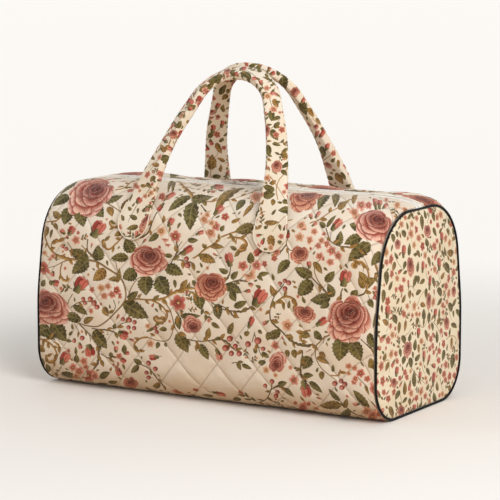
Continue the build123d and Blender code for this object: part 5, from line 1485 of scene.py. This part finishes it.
def makeEnd(name, side):
    half = endOutline(ends["inset"])
    # the level runs at the top and the base are left to the first and the last row
    line = half[(half[:, 0] > 12) | (np.abs(half[:, 1] - 124) < 100)]
    length = lengthsAlong(line)[-1]
    edge = pointsAt(line, np.linspace(0, length, 4 * int(length / 10) + 1))
    edge = edge[np.argsort(-edge[:, 1], kind="stable")]
    y = edge[:, 0][:, None] * np.linspace(-1, 1, ends["columns"])[None, :]
    z = np.repeat(edge[:, 1][:, None], ends["columns"], 1)
    cloth = np.stack([y, z], -1)
    # how far inside the seam a point is
    outline = np.vstack([half, half[::-1] * (-1, 1)])
    flat = cloth.reshape(-1, 2)
    gap = np.full(len(flat), 1e9)
    for k in range(len(outline) - 1):
        run = outline[k + 1] - outline[k]
        size = run @ run
        if size < 1e-9:
            continue
        t = np.clip(((flat - outline[k]) @ run) / size, 0, 1)
        gap = np.minimum(gap, np.hypot(*(flat - outline[k] - t[:, None] * run).T))
    gap = gap.reshape(y.shape)
    dome = ends["dome"] * smoothStep(0, ends["domeReach"], gap)
    waves = softWaves(cloth, 31 if side > 0 else 32, ends["waves"]) * smoothStep(2, 30, gap)
    gather = ends["gather"] * np.sin(z * 0.5 + y * 0.35 + np.sin(z * 0.21)) * np.exp(-((gap - 4) / 5) ** 2)
    fall = -1.3 * np.exp(-gap / 2.0)
    x = bag["panelEnd"] + ends["out"] + dome + waves + gather + fall
    outer = np.stack([side * x, y, z], -1)
    inner = np.stack([np.full_like(x, side * (bag["panelEnd"] + 0.2)), y, z], -1)
    piece = clothShell(name, outer, inner, cloth * (side, 1), endMotifs, endCotton, side < 0,
                       lambda at: at + (0.005, 0.095))
    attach(piece, "bag")
    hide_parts("right_end_panel" if side > 0 else "left_end_panel")


makeEnd("rightEndPanel", 1)
makeEnd("leftEndPanel", -1)
print("end panels made")


# Handles

def between(first, last, start, stop, value):
    # one of the handle's sizes turning smoothly into another
    return handle[first] + (handle[last] - handle[first]) * float(smoothStep(start, stop, value))


def strapFrames(which):
    # stations along a strap: place, side direction, outward direction, width, thickness, squareness, length along
    shift, reach = handle[which]["shift"], handle[which]["reach"]
    feet, knees, crest = handle["footSpacing"], handle["kneeSpacing"], handle["crestSpacing"]
    left = [(shift - feet, -handle["footAt"]), (shift - feet, 0), (shift / 6 - knees, handle["kneeReach"]),
            (-crest, reach)]
    right = [(crest, reach), (shift / 6 + knees, handle["kneeReach"]), (shift + feet, 0),
             (shift + feet, -handle["footAt"])]
    line = filletedPath(left + right, handle["radii"], 60)
    length = lengthsAlong(line)[-1]
    tip = tabs["radius"]
    # close stations in the rounded ends of the tabs, even ones between them
    ends = tip * (1 - np.cos(np.linspace(0.02, math.pi / 2, 16)))
    even = np.linspace(tip, length - tip, int((length - 2 * tip) / handle["step"]))
    where = np.concatenate([ends[:-1], even, (length - ends[:-1])[::-1]])
    spots = pointsAt(line, where)
    near = pointsAt(line, np.clip(where + 0.5, 0, length)) - pointsAt(line, np.clip(where - 0.5, 0, length))
    run = near / np.linalg.norm(near, axis=-1, keepdims=True)
    lean = math.radians(handle["lean"])
    upright = np.array([-math.cos(lean), math.sin(lean)])
    outward = np.array([math.sin(lean), math.cos(lean)])
    surface = sideProfile(tabs["x"])
    fine = pointsAt(surface, np.linspace(0, lengthsAlong(surface)[-1], 4000))
    foot = int(np.argmin(np.hypot(fine[:, 0] - handle["footY"], fine[:, 1] - handle["footZ"])))
    downTo = lengthsAlong(fine)[foot]
    frames = []
    for number, (x, s) in enumerate(spots):
        at = min(where[number], length - where[number])
        rise = min(max((at - handle["footAt"]) / (length / 2 - handle["footAt"]), 0.0), 1.0)
        if s >= 0:
            yz = np.array([handle["footY"], handle["footZ"]]) + upright * s
            normal, along = outward, upright
        else:
            down = downTo - s
            place = pointsAt(fine, np.array([down]))[0]
            ahead = pointsAt(fine, np.array([down + 0.5]))[0] - pointsAt(fine, np.array([down - 0.5]))[0]
            along = -ahead / np.linalg.norm(ahead)
            normal = np.array([along[1], -along[0]])
            yz = place + normal * between("tabLift", "footLift", -22, 0, s)
        dx, ds = run[number]
        inner = np.array([ds, -dx * along[0], -dx * along[1]])
        out = np.array([0.0, normal[0], normal[1]])
        turn = math.radians(handle["firstTurn"] * float(smoothStep(0, 0.5, rise))
                            + (handle["crestTurn"] - handle["firstTurn"]) * float(smoothStep(0.5, 1, rise)))
        wide = inner * math.cos(turn) + out * math.sin(turn)
        thick = out * math.cos(turn) - inner * math.sin(turn)
        width = handle["width"] + (handle["footWidth"] - handle["width"]) * (1 - rise) ** handle["flare"]
        if at < tip:
            width = handle["footWidth"] * math.sqrt(max(1 - (1 - at / tip) ** 2, 0.0))
        thickness = between("footThickness", "thickness", 0, 0.3, rise)
        if s < 0:
            thickness = between("tabThickness", "footThickness", -22, 0, s)
        squareness = 7.0 - 2.2 * float(smoothStep(-20, 45, s))
        frames.append((np.array([x, yz[0], yz[1]]), wide, thick, width, thickness, squareness, where[number]))
    return frames, length


def strapSurface(which, seed):
    # rings of the padded strap and the cloth places on it: along the strap, and round it from its seam
    frames, length = strapFrames(which)
    around = handle["around"]
    angles = np.linspace(0, 2 * math.pi, around, endpoint=False)
    shifts = np.random.default_rng(seed).uniform(0, 2 * math.pi, 8)
    vertices, cloth = [], []
    for spot, wide, thick, width, thickness, squareness, reach in frames:
        c, s = np.cos(angles), np.sin(angles)
        size = (np.abs(c) ** squareness + np.abs(s) ** squareness) ** (-1 / squareness)
        # soft padding: slow swelling and small cross wrinkles, none on the sewn tabs
        soft = float(smoothStep(30, 75, min(reach, length - reach)))
        swell = 1 + soft * 0.028 * (math.sin(reach / 17 + shifts[0]) + 0.7 * math.sin(reach / 29 + shifts[1]))
        flat = np.stack([c * size * width / 2 * swell, s * size * thickness / 2 * (swell + soft * 0.02)], -1)
        wrinkle = soft * 0.30 * np.sin(reach * 0.62 + 2.2 * np.sin(angles + shifts[2]) + 1.5 * math.sin(reach / 21))
        wrinkle = wrinkle * (0.4 + 0.6 * np.sin(angles * 2 + reach / 33 + shifts[3]) ** 2)
        flat = flat + np.stack([c, s], -1) * wrinkle[:, None] * 0.8
        lengths = lengthsAlong(np.vstack([flat, flat[:1]]))
        vertices.append(spot + flat[:, :1] * wide + flat[:, 1:] * thick)
        cloth.append(np.stack([np.full(around + 1, reach), lengths - lengths[around // 4]], -1))
    vertices = np.array(vertices)
    vertices[..., 1] *= 1 if which == "back" else -1
    return vertices, np.array(cloth), length


bakedRows = 8   # a long narrow piece is cut into this many strips on its baked map


def stripOf(corners, length):
    # the strip of each corner, by how far along the piece its face lies
    middle = corners.mean(1)[:, 0]
    return np.repeat(np.minimum((middle / length * bakedRows).astype(int), bakedRows - 1), 4)


def makeHandle(name, which, motifs, seed):
    vertices, cloth, length = strapSurface(which, seed)
    around, angles = handle["around"], np.linspace(0, 2 * math.pi, handle["around"], endpoint=False)
    rows = len(vertices)
    i, j = (index.ravel() for index in np.meshgrid(np.arange(rows - 1), np.arange(around), indexing="ij"))
    a, b = i * around + j, i * around + (j + 1) % around
    quads = np.stack([a, b, b + around, a + around], -1)
    corners = np.stack([cloth[i, j], cloth[i, j + 1], cloth[i + 1, j + 1], cloth[i + 1, j]], 1)
    caps = [list(range(around))[::-1], [(rows - 1) * around + k for k in range(around)]]
    if which == "front":
        quads, corners, caps = quads[:, ::-1], corners[:, ::-1], [cap[::-1] for cap in caps]
    piece = meshPiece(name, vertices.reshape(-1, 3), quads.tolist() + caps, handleCotton)
    mesh = piece.data
    layPrint(mesh, corners, motifs)
    layCloth(mesh, corners.reshape(-1, 2))
    flat = corners.reshape(-1, 2)
    strip = stripOf(corners, length)
    u = (flat[:, 0] - strip * length / bakedRows) / (length / bakedRows + 3)
    low = cloth[..., 1].min()
    v = (flat[:, 1] - low) / (cloth[..., 1].max() - low + 4)
    places = np.zeros((len(mesh.loops), 2))
    places[:len(flat)] = np.stack([0.004 + np.clip(u, 0, 1.02) * 0.96,
                                   (strip + v * 0.96) / bakedRows * 0.98 + 0.002], -1)
    at = len(flat)
    spin = np.stack([np.cos(angles), np.sin(angles)], -1) * 0.006
    for k in range(2):
        places[at:at + around] = spin + (0.985, 0.2 + 0.2 * k)
        at += around
    layUnwrap(mesh, places)
    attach(piece, "bag")
    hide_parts(which + "_handle")


# how long each strap's cloth is, and how far it goes round it on either side of zero
handleCloth = {"front": 565.0, "back": 574.0, "low": -27.0, "high": 77.0}
seamReach = 18   # motifs this near the strap's lengthwise seam go round it


def roundTheSeam(motifs, which):
    # motifs that go round the seam are laid on both sides of the cloth's cut
    cloth = strapSurface(which, 0)[1]
    spots, low, high = cloth[:, 0, 0], cloth[:, 0, 1], cloth[:, -1, 1]
    wrapped = {}
    for kind, rows in motifs.items():
        wrapped[kind] = list(rows)
        for row in rows:
            u, v = (row[2], row[3]) if kind == "vine" else (row[0], row[1])
            bottom, top = np.interp(u, spots, low), np.interp(u, spots, high)
            for turn, near in ((1, v - bottom < seamReach), (-1, top - v < seamReach)):
                if near:
                    move = turn * (top - bottom)
                    if kind == "vine":
                        wrapped[kind].append(row[:2] + [value + move * (k % 2) for k, value in enumerate(row[2:])])
                    else:
                        wrapped[kind].append([row[0], row[1] + move] + row[2:])
    return wrapped


for which, number in (("front", 6), ("back", 5)):
    box = (3, handleCloth["low"], handleCloth[which] - 3, handleCloth["high"])
    fillPrint(handleMotifs[which], number, box, 2500, (3.4, 8.5), 0.72)

makeHandle("backHandle", "back", roundTheSeam(handleMotifs["back"], "back"), 21)
makeHandle("frontHandle", "front", roundTheSeam(handleMotifs["front"], "front"), 22)
print("handles made")


# Stitches: one small thread shape on every point of a sewn line, turned along the line

stitching = {"quiltPitch": 3.5, "quiltLength": 2.5, "quiltLift": 0.04, "tabPitch": 3.0, "tabLength": 2.2,
             "tabInset": 4.6, "tabReach": 48, "tabLift": 0.12, "zipInset": 3.4, "zipLift": 0.15, "width": 0.34}


def buildStitchTree():
    tree = bpy.data.node_groups.new("StitchesOnPoints", "GeometryNodeTree")
    tree.interface.new_socket(name="Geometry", in_out="INPUT", socket_type="NodeSocketGeometry")
    for label, value in (("Length", 0.0025), ("Width", 0.00055), ("Unevenness", 0.12)):
        socket = tree.interface.new_socket(name=label, in_out="INPUT", socket_type="NodeSocketFloat")
        socket.default_value = value
    tree.interface.new_socket(name="Seed", in_out="INPUT", socket_type="NodeSocketInt").default_value = 3
    tree.interface.new_socket(name="Thread", in_out="INPUT", socket_type="NodeSocketMaterial")
    tree.interface.new_socket(name="Geometry", in_out="OUTPUT", socket_type="NodeSocketGeometry")
    new, link = tree.nodes.new, tree.links.new
    enter, leave = new("NodeGroupInput"), new("NodeGroupOutput")
    points, shape = new("GeometryNodeMeshToPoints"), new("GeometryNodeMeshIcoSphere")
    size = new("ShaderNodeCombineXYZ")
    shape.inputs["Radius"].default_value, shape.inputs["Subdivisions"].default_value = 0.5, 1
    along, out = new("GeometryNodeInputNamedAttribute"), new("GeometryNodeInputNamedAttribute")
    for node, label in ((along, "along"), (out, "out")):
        node.data_type = "FLOAT_VECTOR"
        node.inputs["Name"].default_value = label
    turn, chance = new("FunctionNodeAxesToRotation"), new("FunctionNodeRandomValue")
    low, high = new("ShaderNodeMath"), new("ShaderNodeMath")
    turn.primary_axis, turn.secondary_axis = "X", "Z"
    low.operation, high.operation = "SUBTRACT", "ADD"
    low.inputs[0].default_value = high.inputs[0].default_value = 1.0
    link(enter.outputs["Unevenness"], low.inputs[1])
    link(enter.outputs["Unevenness"], high.inputs[1])
    link(low.outputs[0], chance.inputs[2])
    link(high.outputs[0], chance.inputs[3])
    link(enter.outputs["Seed"], chance.inputs["Seed"])
    link(enter.outputs["Length"], size.inputs[0])
    link(enter.outputs["Width"], size.inputs[1])
    link(enter.outputs["Width"], size.inputs[2])
    scaled = new("ShaderNodeVectorMath")
    scaled.operation = "SCALE"
    link(size.outputs[0], scaled.inputs[0])
    link(chance.outputs[1], scaled.inputs["Scale"])
    link(along.outputs[0], turn.inputs[0])
    link(out.outputs[0], turn.inputs[1])
    instances, real = new("GeometryNodeInstanceOnPoints"), new("GeometryNodeRealizeInstances")
    paintIt = new("GeometryNodeSetMaterial")
    link(enter.outputs["Geometry"], points.inputs["Mesh"])
    link(points.outputs[0], instances.inputs["Points"])
    link(shape.outputs[0], instances.inputs["Instance"])
    link(turn.outputs[0], instances.inputs["Rotation"])
    link(scaled.outputs[0], instances.inputs["Scale"])
    link(instances.outputs[0], real.inputs[0])
    link(real.outputs[0], paintIt.inputs["Geometry"])
    link(enter.outputs["Thread"], paintIt.inputs["Material"])
    link(paintIt.outputs[0], leave.inputs[0])
    return tree


stitchTree = buildStitchTree()


def sewStitches(name, spots, along, out, length, material, seed):
    mesh = bpy.data.meshes.new(name)
    mesh.from_pydata([tuple(spot) for spot in spots / 1000.0], [], [])
    for label, vectors in (("along", along), ("out", out)):
        attribute = mesh.attributes.new(label, "FLOAT_VECTOR", "POINT")
        attribute.data.foreach_set("vector", np.asarray(vectors, np.float32).ravel())
    holder = bpy.data.objects.new(name + "Line", mesh)
    bpy.context.scene.collection.objects.link(holder)
    modifier = holder.modifiers.new("Stitches", "NODES")
    modifier.node_group = stitchTree
    values = {"Length": length / 1000, "Width": stitching["width"] / 1000, "Seed": seed, "Thread": material}
    for item in stitchTree.interface.items_tree:
        if item.in_out == "INPUT" and item.name in values:
            modifier[item.identifier] = values[item.name]
    seen = holder.evaluated_get(bpy.context.evaluated_depsgraph_get())
    plain = bpy.data.meshes.new_from_object(seen)
    plain.name = name
    holder.modifiers.clear()
    bpy.data.objects.remove(holder)
    piece = bpy.data.objects.new(name, plain)
    bpy.context.scene.collection.objects.link(piece)
    plain.polygons.foreach_set("use_smooth", np.ones(len(plain.polygons), bool))
    # a small cell of the baked map for every triangle
    count = len(plain.polygons)
    cells = math.ceil(math.sqrt(count))
    across, down = np.arange(count) % cells, np.arange(count) // cells
    corner = np.array([(0.1, 0.1), (0.8, 0.1), (0.1, 0.8)])
    layUnwrap(plain, ((np.stack([across, down], -1)[:, None, :] + corner[None]) / cells).reshape(-1, 2))
    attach(piece, "bag")


def evenly(line, out, pitch):
    # stitches at an even pitch on a line of places with their outward directions
    length = lengthsAlong(line)[-1]
    where = np.arange(pitch / 2, length, pitch)
    steps = lengthsAlong(line)
    spots = pointsAt(line, where)
    normals = np.stack([np.interp(where, steps, out[:, k]) for k in range(3)], -1)
    ahead = pointsAt(line, np.minimum(where + 0.4, length)) - pointsAt(line, where - 0.4)
    return spots, ahead / np.linalg.norm(ahead, axis=-1, keepdims=True), normals


def onPanel(outer, outward, cloth, u, v):
    # places and outward directions at cloth places of a side panel
    us, total = cloth[:, 0, 0], cloth[:, -1, 1]
    i = np.clip(np.interp(u, us, np.arange(len(us))), 0, len(us) - 1.001)
    j = np.clip(v / np.interp(u, us, total) * (cloth.shape[1] - 1), 0, cloth.shape[1] - 1.001)
    a, b = i.astype(int), j.astype(int)
    s, t = (i - a)[:, None], (j - b)[:, None]

    def blend(field):
        near = field[a, b] * (1 - s) + field[a + 1, b] * s
        far = field[a, b + 1] * (1 - s) + field[a + 1, b + 1] * s
        return near * (1 - t) + far * t

    return blend(outer), blend(outward)


def sewPanel(name, outer, outward, cloth, tabShift, seed):
    spots, along, out = [], [], []

    def sew(line, normals, pitch):
        for store, values in zip((spots, along, out), evenly(line, normals, pitch)):
            store.append(values)

    uMax = cloth[-1, 0, 0]
    reach = cloth[:, -1, 1]
    for lean, shift in sewnLines:
        for number in range(-14, 15):
            v = np.arange(5.0, 468.0, 1.5)
            target = (number + shift) * quilting["repeat"] - lean * v
            u = target.copy()
            for _ in range(4):
                u = target - sway(v) - drift(u)
            inside = (np.abs(u) < uMax - 5) & (v < np.interp(u, cloth[:, 0, 0], reach) - 4)
            if inside.sum() < 6:
                continue
            line, normals = onPanel(outer, outward, cloth, u[inside], v[inside])
            under = fromTab(line, tabShift) < tabs["radius"] + 2
            line = line + normals * stitching["quiltLift"]
            # the line stops at each tab and starts again behind it
            cuts = np.nonzero(np.diff(under.astype(int)))[0] + 1
            for run, hidden in zip(np.split(np.arange(len(line)), cuts), np.split(under, cuts)):
                if len(run) > 3 and not hidden[0]:
                    sew(line[run], normals[run], stitching["quiltPitch"])
    u = np.arange(-uMax + 8, uMax - 8, 2.0)
    line, normals = onPanel(outer, outward, cloth, u, np.full(len(u), stitching["zipInset"]))
    sew(line + normals * stitching["zipLift"], normals, stitching["tabPitch"])
    sewStitches(name, *map(np.concatenate, (spots, along, out)), stitching["quiltLength"], creamThread, seed)


def roundTabs(which, inset, reach, lift):
    # a line round both tabs of a handle, inset from their edge, up to where the strap leaves the bag
    frames, length = strapFrames(which)
    tip = tabs["radius"]
    side = 1 if which == "back" else -1
    found = []
    for turned in (False, True):
        rows = [f for f in frames if inset < (length - f[6] if turned else f[6]) < reach]
        rows = rows[::-1] if turned else rows
        lines = []
        for hand in (1, -1):
            line = []
            for place, wide, thick, width, thickness, _, where in rows:
                at = length - where if turned else where
                half = math.sqrt(max((tip - inset) ** 2 - (tip - at) ** 2, 0)) if at < tip else width / 2 - inset
                line.append(place + wide * half * hand + thick * (thickness / 2 + lift))
            lines.append(np.array(line))
        thicks = np.array([row[2] for row in rows])
        whole = np.vstack([lines[0][::-1], lines[1]]) * (1, side, 1)
        normals = np.vstack([thicks[::-1], thicks]) * (1, side, 1)
        found.append((whole, normals))
    return found


def sewTabs(name, which, seed):
    # a row of stitches a little inside the edge of both tabs
    lines = roundTabs(which, stitching["tabInset"], stitching["tabReach"], stitching["tabLift"])
    sewn = zip(*(evenly(line, normals, stitching["tabPitch"]) for line, normals in lines))
    sewStitches(name, *map(np.concatenate, sewn), stitching["tabLength"], creamThread, seed)


sewPanel("frontStitches", *front, handle["front"]["shift"], 1)
sewPanel("backStitches", *back, handle["back"]["shift"], 2)
sewTabs("frontTabStitches", "front", 3)
sewTabs("backTabStitches", "back", 4)
print("stitches sewn")


# White tape that shows as a folded edge along the zip, and the turned edge of each tab

edging = {"zipWide": 1.0, "zipHigh": 0.9, "zipIn": 0.3, "zipLift": 0.1, "tabWide": 0.8, "tabHigh": 0.55,
          "tabInset": 0.35, "tabReach": 46, "tabLift": -0.25, "around": 10}


def edgeRolls(name, lines, wide, high, material):
    # oval rolls along lines of (places, outward directions), closed at both ends
    around = edging["around"]
    vertices, faces = [], []
    for places, outward in lines:
        run = np.gradient(places, axis=0)
        run /= np.linalg.norm(run, axis=1, keepdims=True)
        across = np.cross(run, outward)
        across /= np.linalg.norm(across, axis=1, keepdims=True)
        start = len(vertices)
        for k in range(around):
            turn = 2 * math.pi * k / around
            ring = places + across * (wide * math.cos(turn)) + outward * (high * math.sin(turn))
            vertices += ring.tolist()
        count = len(places)
        at = start + np.arange(around) * count
        ahead = np.roll(at, -1)
        for k in range(count - 1):
            faces += np.stack([at + k, at + k + 1, ahead + k + 1, ahead + k], -1).tolist()
        faces += [at.tolist(), (at + count - 1)[::-1].tolist()]
    piece = meshPiece(name, vertices, faces, material)
    work = bmesh.new()
    work.from_mesh(piece.data)
    bmesh.ops.recalc_face_normals(work, faces=work.faces)
    work.to_mesh(piece.data)
    work.free()
    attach(piece, "bag")
    return piece


def zipEdge(name, outer, outward, side):
    step = slice(3, -3)
    places = outer[step, 0] + outward[step, 0] * edging["zipLift"]
    places[:, 1] -= side * edging["zipIn"]
    roll = edgeRolls(name, [(places, outward[step, 0])], edging["zipWide"], edging["zipHigh"], tapeCloth)


zipEdge("frontZipEdge", *front[:2], -1)
zipEdge("backZipEdge", *back[:2], 1)
for which in ("front", "back"):
    lines = roundTabs(which, edging["tabInset"], edging["tabReach"], edging["tabLift"])
    edgeRolls(which + "TabEdge", lines, edging["tabWide"], edging["tabHigh"], edgeCotton)
print("edges rolled")


# Piping round the end seams

piping = {"radius": 1.5, "x": 258.6, "inset": 1.3, "around": 14, "step": 2.0}


def corded(name, colour, light):
    # a bias strip wrapped round a cord: slanting weave whose raised threads take the lighter colour as a painted
    # highlight, small pulls, and patches worn lighter at random
    made = newMaterial(name, roughness=0.7, sheen=0.04, sheenRoughness=0.4, specular=0.15)
    tree = made[1]
    cloth = attributeFlow(tree, "cloth")
    u, v, _ = parts(cloth)
    slant = joined(tree, (u + v) * 0.7071, (u - v) * 0.7071)
    weave = useGroup(tree, weaveGroup, Place=slant, Threads=1.9)
    worn = noise(cloth, 0.12, 4.0, 0.6).soft(0.45, 0.8)
    # painted highlight on the raised threads of the weave; the worn patches are random wear
    tone = mixed(weave("Height").soft(0.3, 1.6) * 0.55 + worn * 0.3, colour, light)
    return complete(made, tone, worn * 0.15 + 0.62, weave("Height"), 0.5, 0.00015)


pipingCloth = corded("PipingCloth", "#060609", "#121217")


def makePiping(name, side):
    half = endOutline(piping["inset"])
    loop = np.vstack([half[1:-1], half[-2:0:-1] * (-1, 1)])
    closed = np.vstack([loop, loop[:1]])
    length = lengthsAlong(closed)[-1]
    count = int(length / piping["step"])
    where = np.linspace(0, length, count, endpoint=False)
    spots = pointsAt(closed, where)
    run = np.roll(spots, -1, 0) - np.roll(spots, 1, 0)
    run /= np.linalg.norm(run, axis=-1, keepdims=True)
    outward = np.stack([run[:, 1], -run[:, 0]], -1)
    if ((spots[10] - (0, 130)) @ outward[10]) < 0:
        outward = -outward
    around = piping["around"]
    angles = np.linspace(0, 2 * math.pi, around, endpoint=False)
    vertices = np.zeros((count, around, 3))
    for k, (spot, out, at) in enumerate(zip(spots, outward, where)):
        radius = piping["radius"] * (1 + 0.018 * math.sin(at * 0.9) + 0.012 * math.sin(at * 0.37 + 1)) - 0.05
        vertices[k, :, 0] = side * (piping["x"] + radius * np.sin(angles))
        vertices[k, :, 1] = spot[0] + out[0] * radius * np.cos(angles)
        vertices[k, :, 2] = np.maximum(spot[1] + out[1] * radius * np.cos(angles), 0.0)
    i, j = (index.ravel() for index in np.meshgrid(np.arange(count), np.arange(around), indexing="ij"))
    ahead, beside = (i + 1) % count, (j + 1) % around
    quads = np.stack([i * around + j, i * around + beside, ahead * around + beside, ahead * around + j], -1)
    near, far = where[i], where[i] + length / count
    stepV = 2 * math.pi * piping["radius"] / around
    low, high = j * stepV, (j + 1) * stepV
    corners = np.stack([np.stack(pair, -1) for pair in ((near, low), (near, high), (far, high), (far, low))], 1)
    if side < 0:
        quads, corners = quads[:, ::-1], corners[:, ::-1]
    piece = meshPiece(name, vertices.reshape(-1, 3), quads.tolist(), pipingCloth)
    layCloth(piece.data, corners.reshape(-1, 2))
    strip = stripOf(corners, length)
    flat = corners.reshape(-1, 2)
    u = (flat[:, 0] - strip * length / bakedRows) / (length / bakedRows)
    v = flat[:, 1] / (2 * math.pi * piping["radius"])
    layUnwrap(piece.data, np.stack([0.005 + u * 0.97, (strip + v * 0.94) / bakedRows * 0.98 + 0.004], -1))
    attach(piece, "bag")
    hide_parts("right_piping" if side > 0 else "left_piping")


makePiping("rightPiping", 1)
makePiping("leftPiping", -1)
print("piping made")


# Inside pieces and the zip keep their CAD shapes and get their finishes

bindingCloth = plainCloth("BindingCloth", "#E2D7C6", "#CDBFA8", threads=1.8, roughness=0.8)


def boardMaterial():
    made = newMaterial("BoardCover", roughness=0.7, specular=0.3)
    tree = made[1]
    place = objectPlace(tree)
    grain = noise(place, 180.0, 4.0, 0.6)
    spots = noise(place, 900.0, 2.0)
    tone = mixed(grain.soft(0.3, 0.7), "#8A7658", "#A89272")
    return complete(made, mixed(spots.soft(0.6, 0.75) * 0.5, tone, "#6E5C42"),
                    grain * 0.25 + 0.55, grain + spots, 0.3, 0.0002)


def coilMaterial():
    # round turns of nylon 1.5 mm apart that slant a little, in shade where one meets the next
    made = newMaterial("CoilNylon", roughness=0.35, specular=0.5)
    tree = made[1]
    place = objectPlace(tree)
    x, y, _ = parts(place)
    middle = (((x + y.size() * 0.2) * (1000.0 / 1.5)).fraction() - 0.5) * 2.0
    turns = 1.0 - middle * middle
    blur = noise(place, 260.0, 2.0)
    tone = mixed(blur.soft(0.35, 0.7), "#F1ECE4", "#DAD2C6")
    return complete(made, mixed(turns.soft(0.45, 0.0) * 0.75, tone, "#8C8478"),
                    blur * 0.2 + 0.28, turns + blur * 0.2, 0.8, 0.0004)


def metalMaterial(name, colour, shade):
    # plated cast metal: brushed along the bag, rubbed lighter and smoother here and there
    made = newMaterial(name, roughness=0.3, specular=0.5, metallic=1.0)
    tree = made[1]
    x, y, z = parts(objectPlace(tree))
    brushed = noise(joined(tree, x * 300.0, y * 4000.0, z * 4000.0), 1.0, 3.0)
    rubbed = noise(joined(tree, x, y, z), 420.0, 3.0, 0.6).soft(0.42, 0.72)
    return complete(made, mixed(rubbed * 0.7, colour, shade),
                    brushed * 0.16 + rubbed * 0.16 + 0.16, brushed + rubbed, 0.25, 0.00008)


boardCover = boardMaterial()
coilNylon = coilMaterial()
zipMetal = metalMaterial("ZipMetal", "#D9D4CB", "#A79F92")

finishes = {"base_board": boardCover}
for hand in ("left", "right"):
    finishes[hand + "_seam_binding"] = bindingCloth
    for part in ("stop", "slider", "pull"):
        finishes[hand + "_zip_" + part] = zipMetal
for hand in ("front", "back"):
    finishes[hand + "_zip_tape"], finishes[hand + "_zip_coil"] = tapeCloth, coilNylon
for node, material in finishes.items():
    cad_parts[node].data.materials.clear()
    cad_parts[node].data.materials.append(material)


# Floor, light and camera

studio = {
    "floorColour": "#F3F0EC",
    "floorShade": "#ECE8E2",
    "floorSize": 30,
    "floorDrop": 0.0003,
    "backdrop": "#F4F1ED",
    "camera": (1632.96, -2692.78, 666.71),
    "target": (4.4, 0.0, 189.2),
    "viewAngle": 11.94,
    "keyPlace": (1.98, -1.42, 1.72),
    "keyPower": 53.0,
    "keySize": 1.6,
    "keyColour": (1.0, 0.985, 0.955),
    "fillPlace": (-2.6, -1.6, 1.4),
    "fillPower": 12.0,
    "fillSize": 2.2,
    "fillColour": (0.95, 0.97, 1.0),
    "lampTarget": (0, 0, 0.18),
    "worldColour": (1.0, 0.985, 0.965, 1),
    "worldStrength": 0.56,
    "bounceColour": "#C0A27C",
}


def seenRays(tree):
    # 1 on what the camera sees itself, in a reflection or through glass, 0 on what only lights the bag
    path = tree.nodes.new("ShaderNodeLightPath")
    seen = Flow(tree, path.outputs["Is Camera Ray"])
    for other in ("Is Glossy Ray", "Is Transmission Ray"):
        seen = seen.most(Flow(tree, path.outputs[other]))
    return seen


def makeFloor():
    # pale where it is seen; the light it throws back on the bag is that of a wooden floor
    material, tree, shader = newMaterial("StudioFloor", roughness=0.7, specular=0.2)
    seen = seenRays(tree)
    blur = noise(objectPlace(tree), 1.3, 2.0)
    pale = mixed(blur * 0.3, studio["floorColour"], studio["floorShade"])
    # far from the bag the floor turns into an even pale backdrop
    x, y, _ = parts(objectPlace(tree))
    far = (x * x + y * y).root().soft(0.3, 1.3) * seen
    feed(tree, shader.inputs["Base Color"], mixed(far, mixed(seen, studio["bounceColour"], pale), "#000000"))
    feed(tree, shader.inputs["Emission Color"], mixed(far, "#000000", studio["backdrop"]))
    shader.inputs["Emission Strength"].default_value = 1.0
    bpy.ops.mesh.primitive_plane_add(size=studio["floorSize"])
    floor = bpy.context.object
    for corner in floor.data.vertices:
        corner.co.z = -studio["floorDrop"]
    floor.name = "studioFloor"
    floor.data.materials.append(material)


def makeLamp(name):
    lamp = bpy.data.lights.new(name + "Lamp", "AREA")
    lamp.shape, lamp.size = "DISK", studio[name + "Size"]
    lamp.energy, lamp.color = studio[name + "Power"], studio[name + "Colour"]
    holder = bpy.data.objects.new(name + "Lamp", lamp)
    bpy.context.scene.collection.objects.link(holder)
    holder.location = studio[name + "Place"]
    aim = Vector(studio["lampTarget"]) - holder.location
    holder.rotation_euler = aim.to_track_quat("-Z", "Y").to_euler()


def makeWorld():
    world = bpy.data.worlds.new("studioWorld")
    bpy.context.scene.world = world
    world.use_nodes = True
    tree = world.node_tree
    tree.nodes.clear()
    output, blend = tree.nodes.new("ShaderNodeOutputWorld"), tree.nodes.new("ShaderNodeMixShader")
    soft, plain = tree.nodes.new("ShaderNodeBackground"), tree.nodes.new("ShaderNodeBackground")
    soft.inputs[0].default_value = studio["worldColour"]
    soft.inputs[1].default_value = studio["worldStrength"]
    plain.inputs[0].default_value = paint(studio["backdrop"])
    plain.inputs[1].default_value = 1.0
    feed(tree, blend.inputs[0], seenRays(tree))
    tree.links.new(soft.outputs[0], blend.inputs[1])
    tree.links.new(plain.outputs[0], blend.inputs[2])
    tree.links.new(blend.outputs[0], output.inputs[0])


makeFloor()
makeLamp("key")
makeLamp("fill")
makeWorld()

cameraData = bpy.data.cameras.new("photoCamera")
camera = bpy.data.objects.new("photoCamera", cameraData)
bpy.context.scene.collection.objects.link(camera)
camera.location = Vector(studio["camera"]) / 1000
camera.rotation_euler = (Vector(studio["target"]) - Vector(studio["camera"])).to_track_quat("-Z", "Y").to_euler()
cameraData.sensor_fit = "HORIZONTAL"
cameraData.angle = math.radians(studio["viewAngle"])
cameraData.clip_end = 50
bpy.context.scene.camera = camera
bpy.context.scene.view_settings.view_transform = "Standard"
print("stage set")
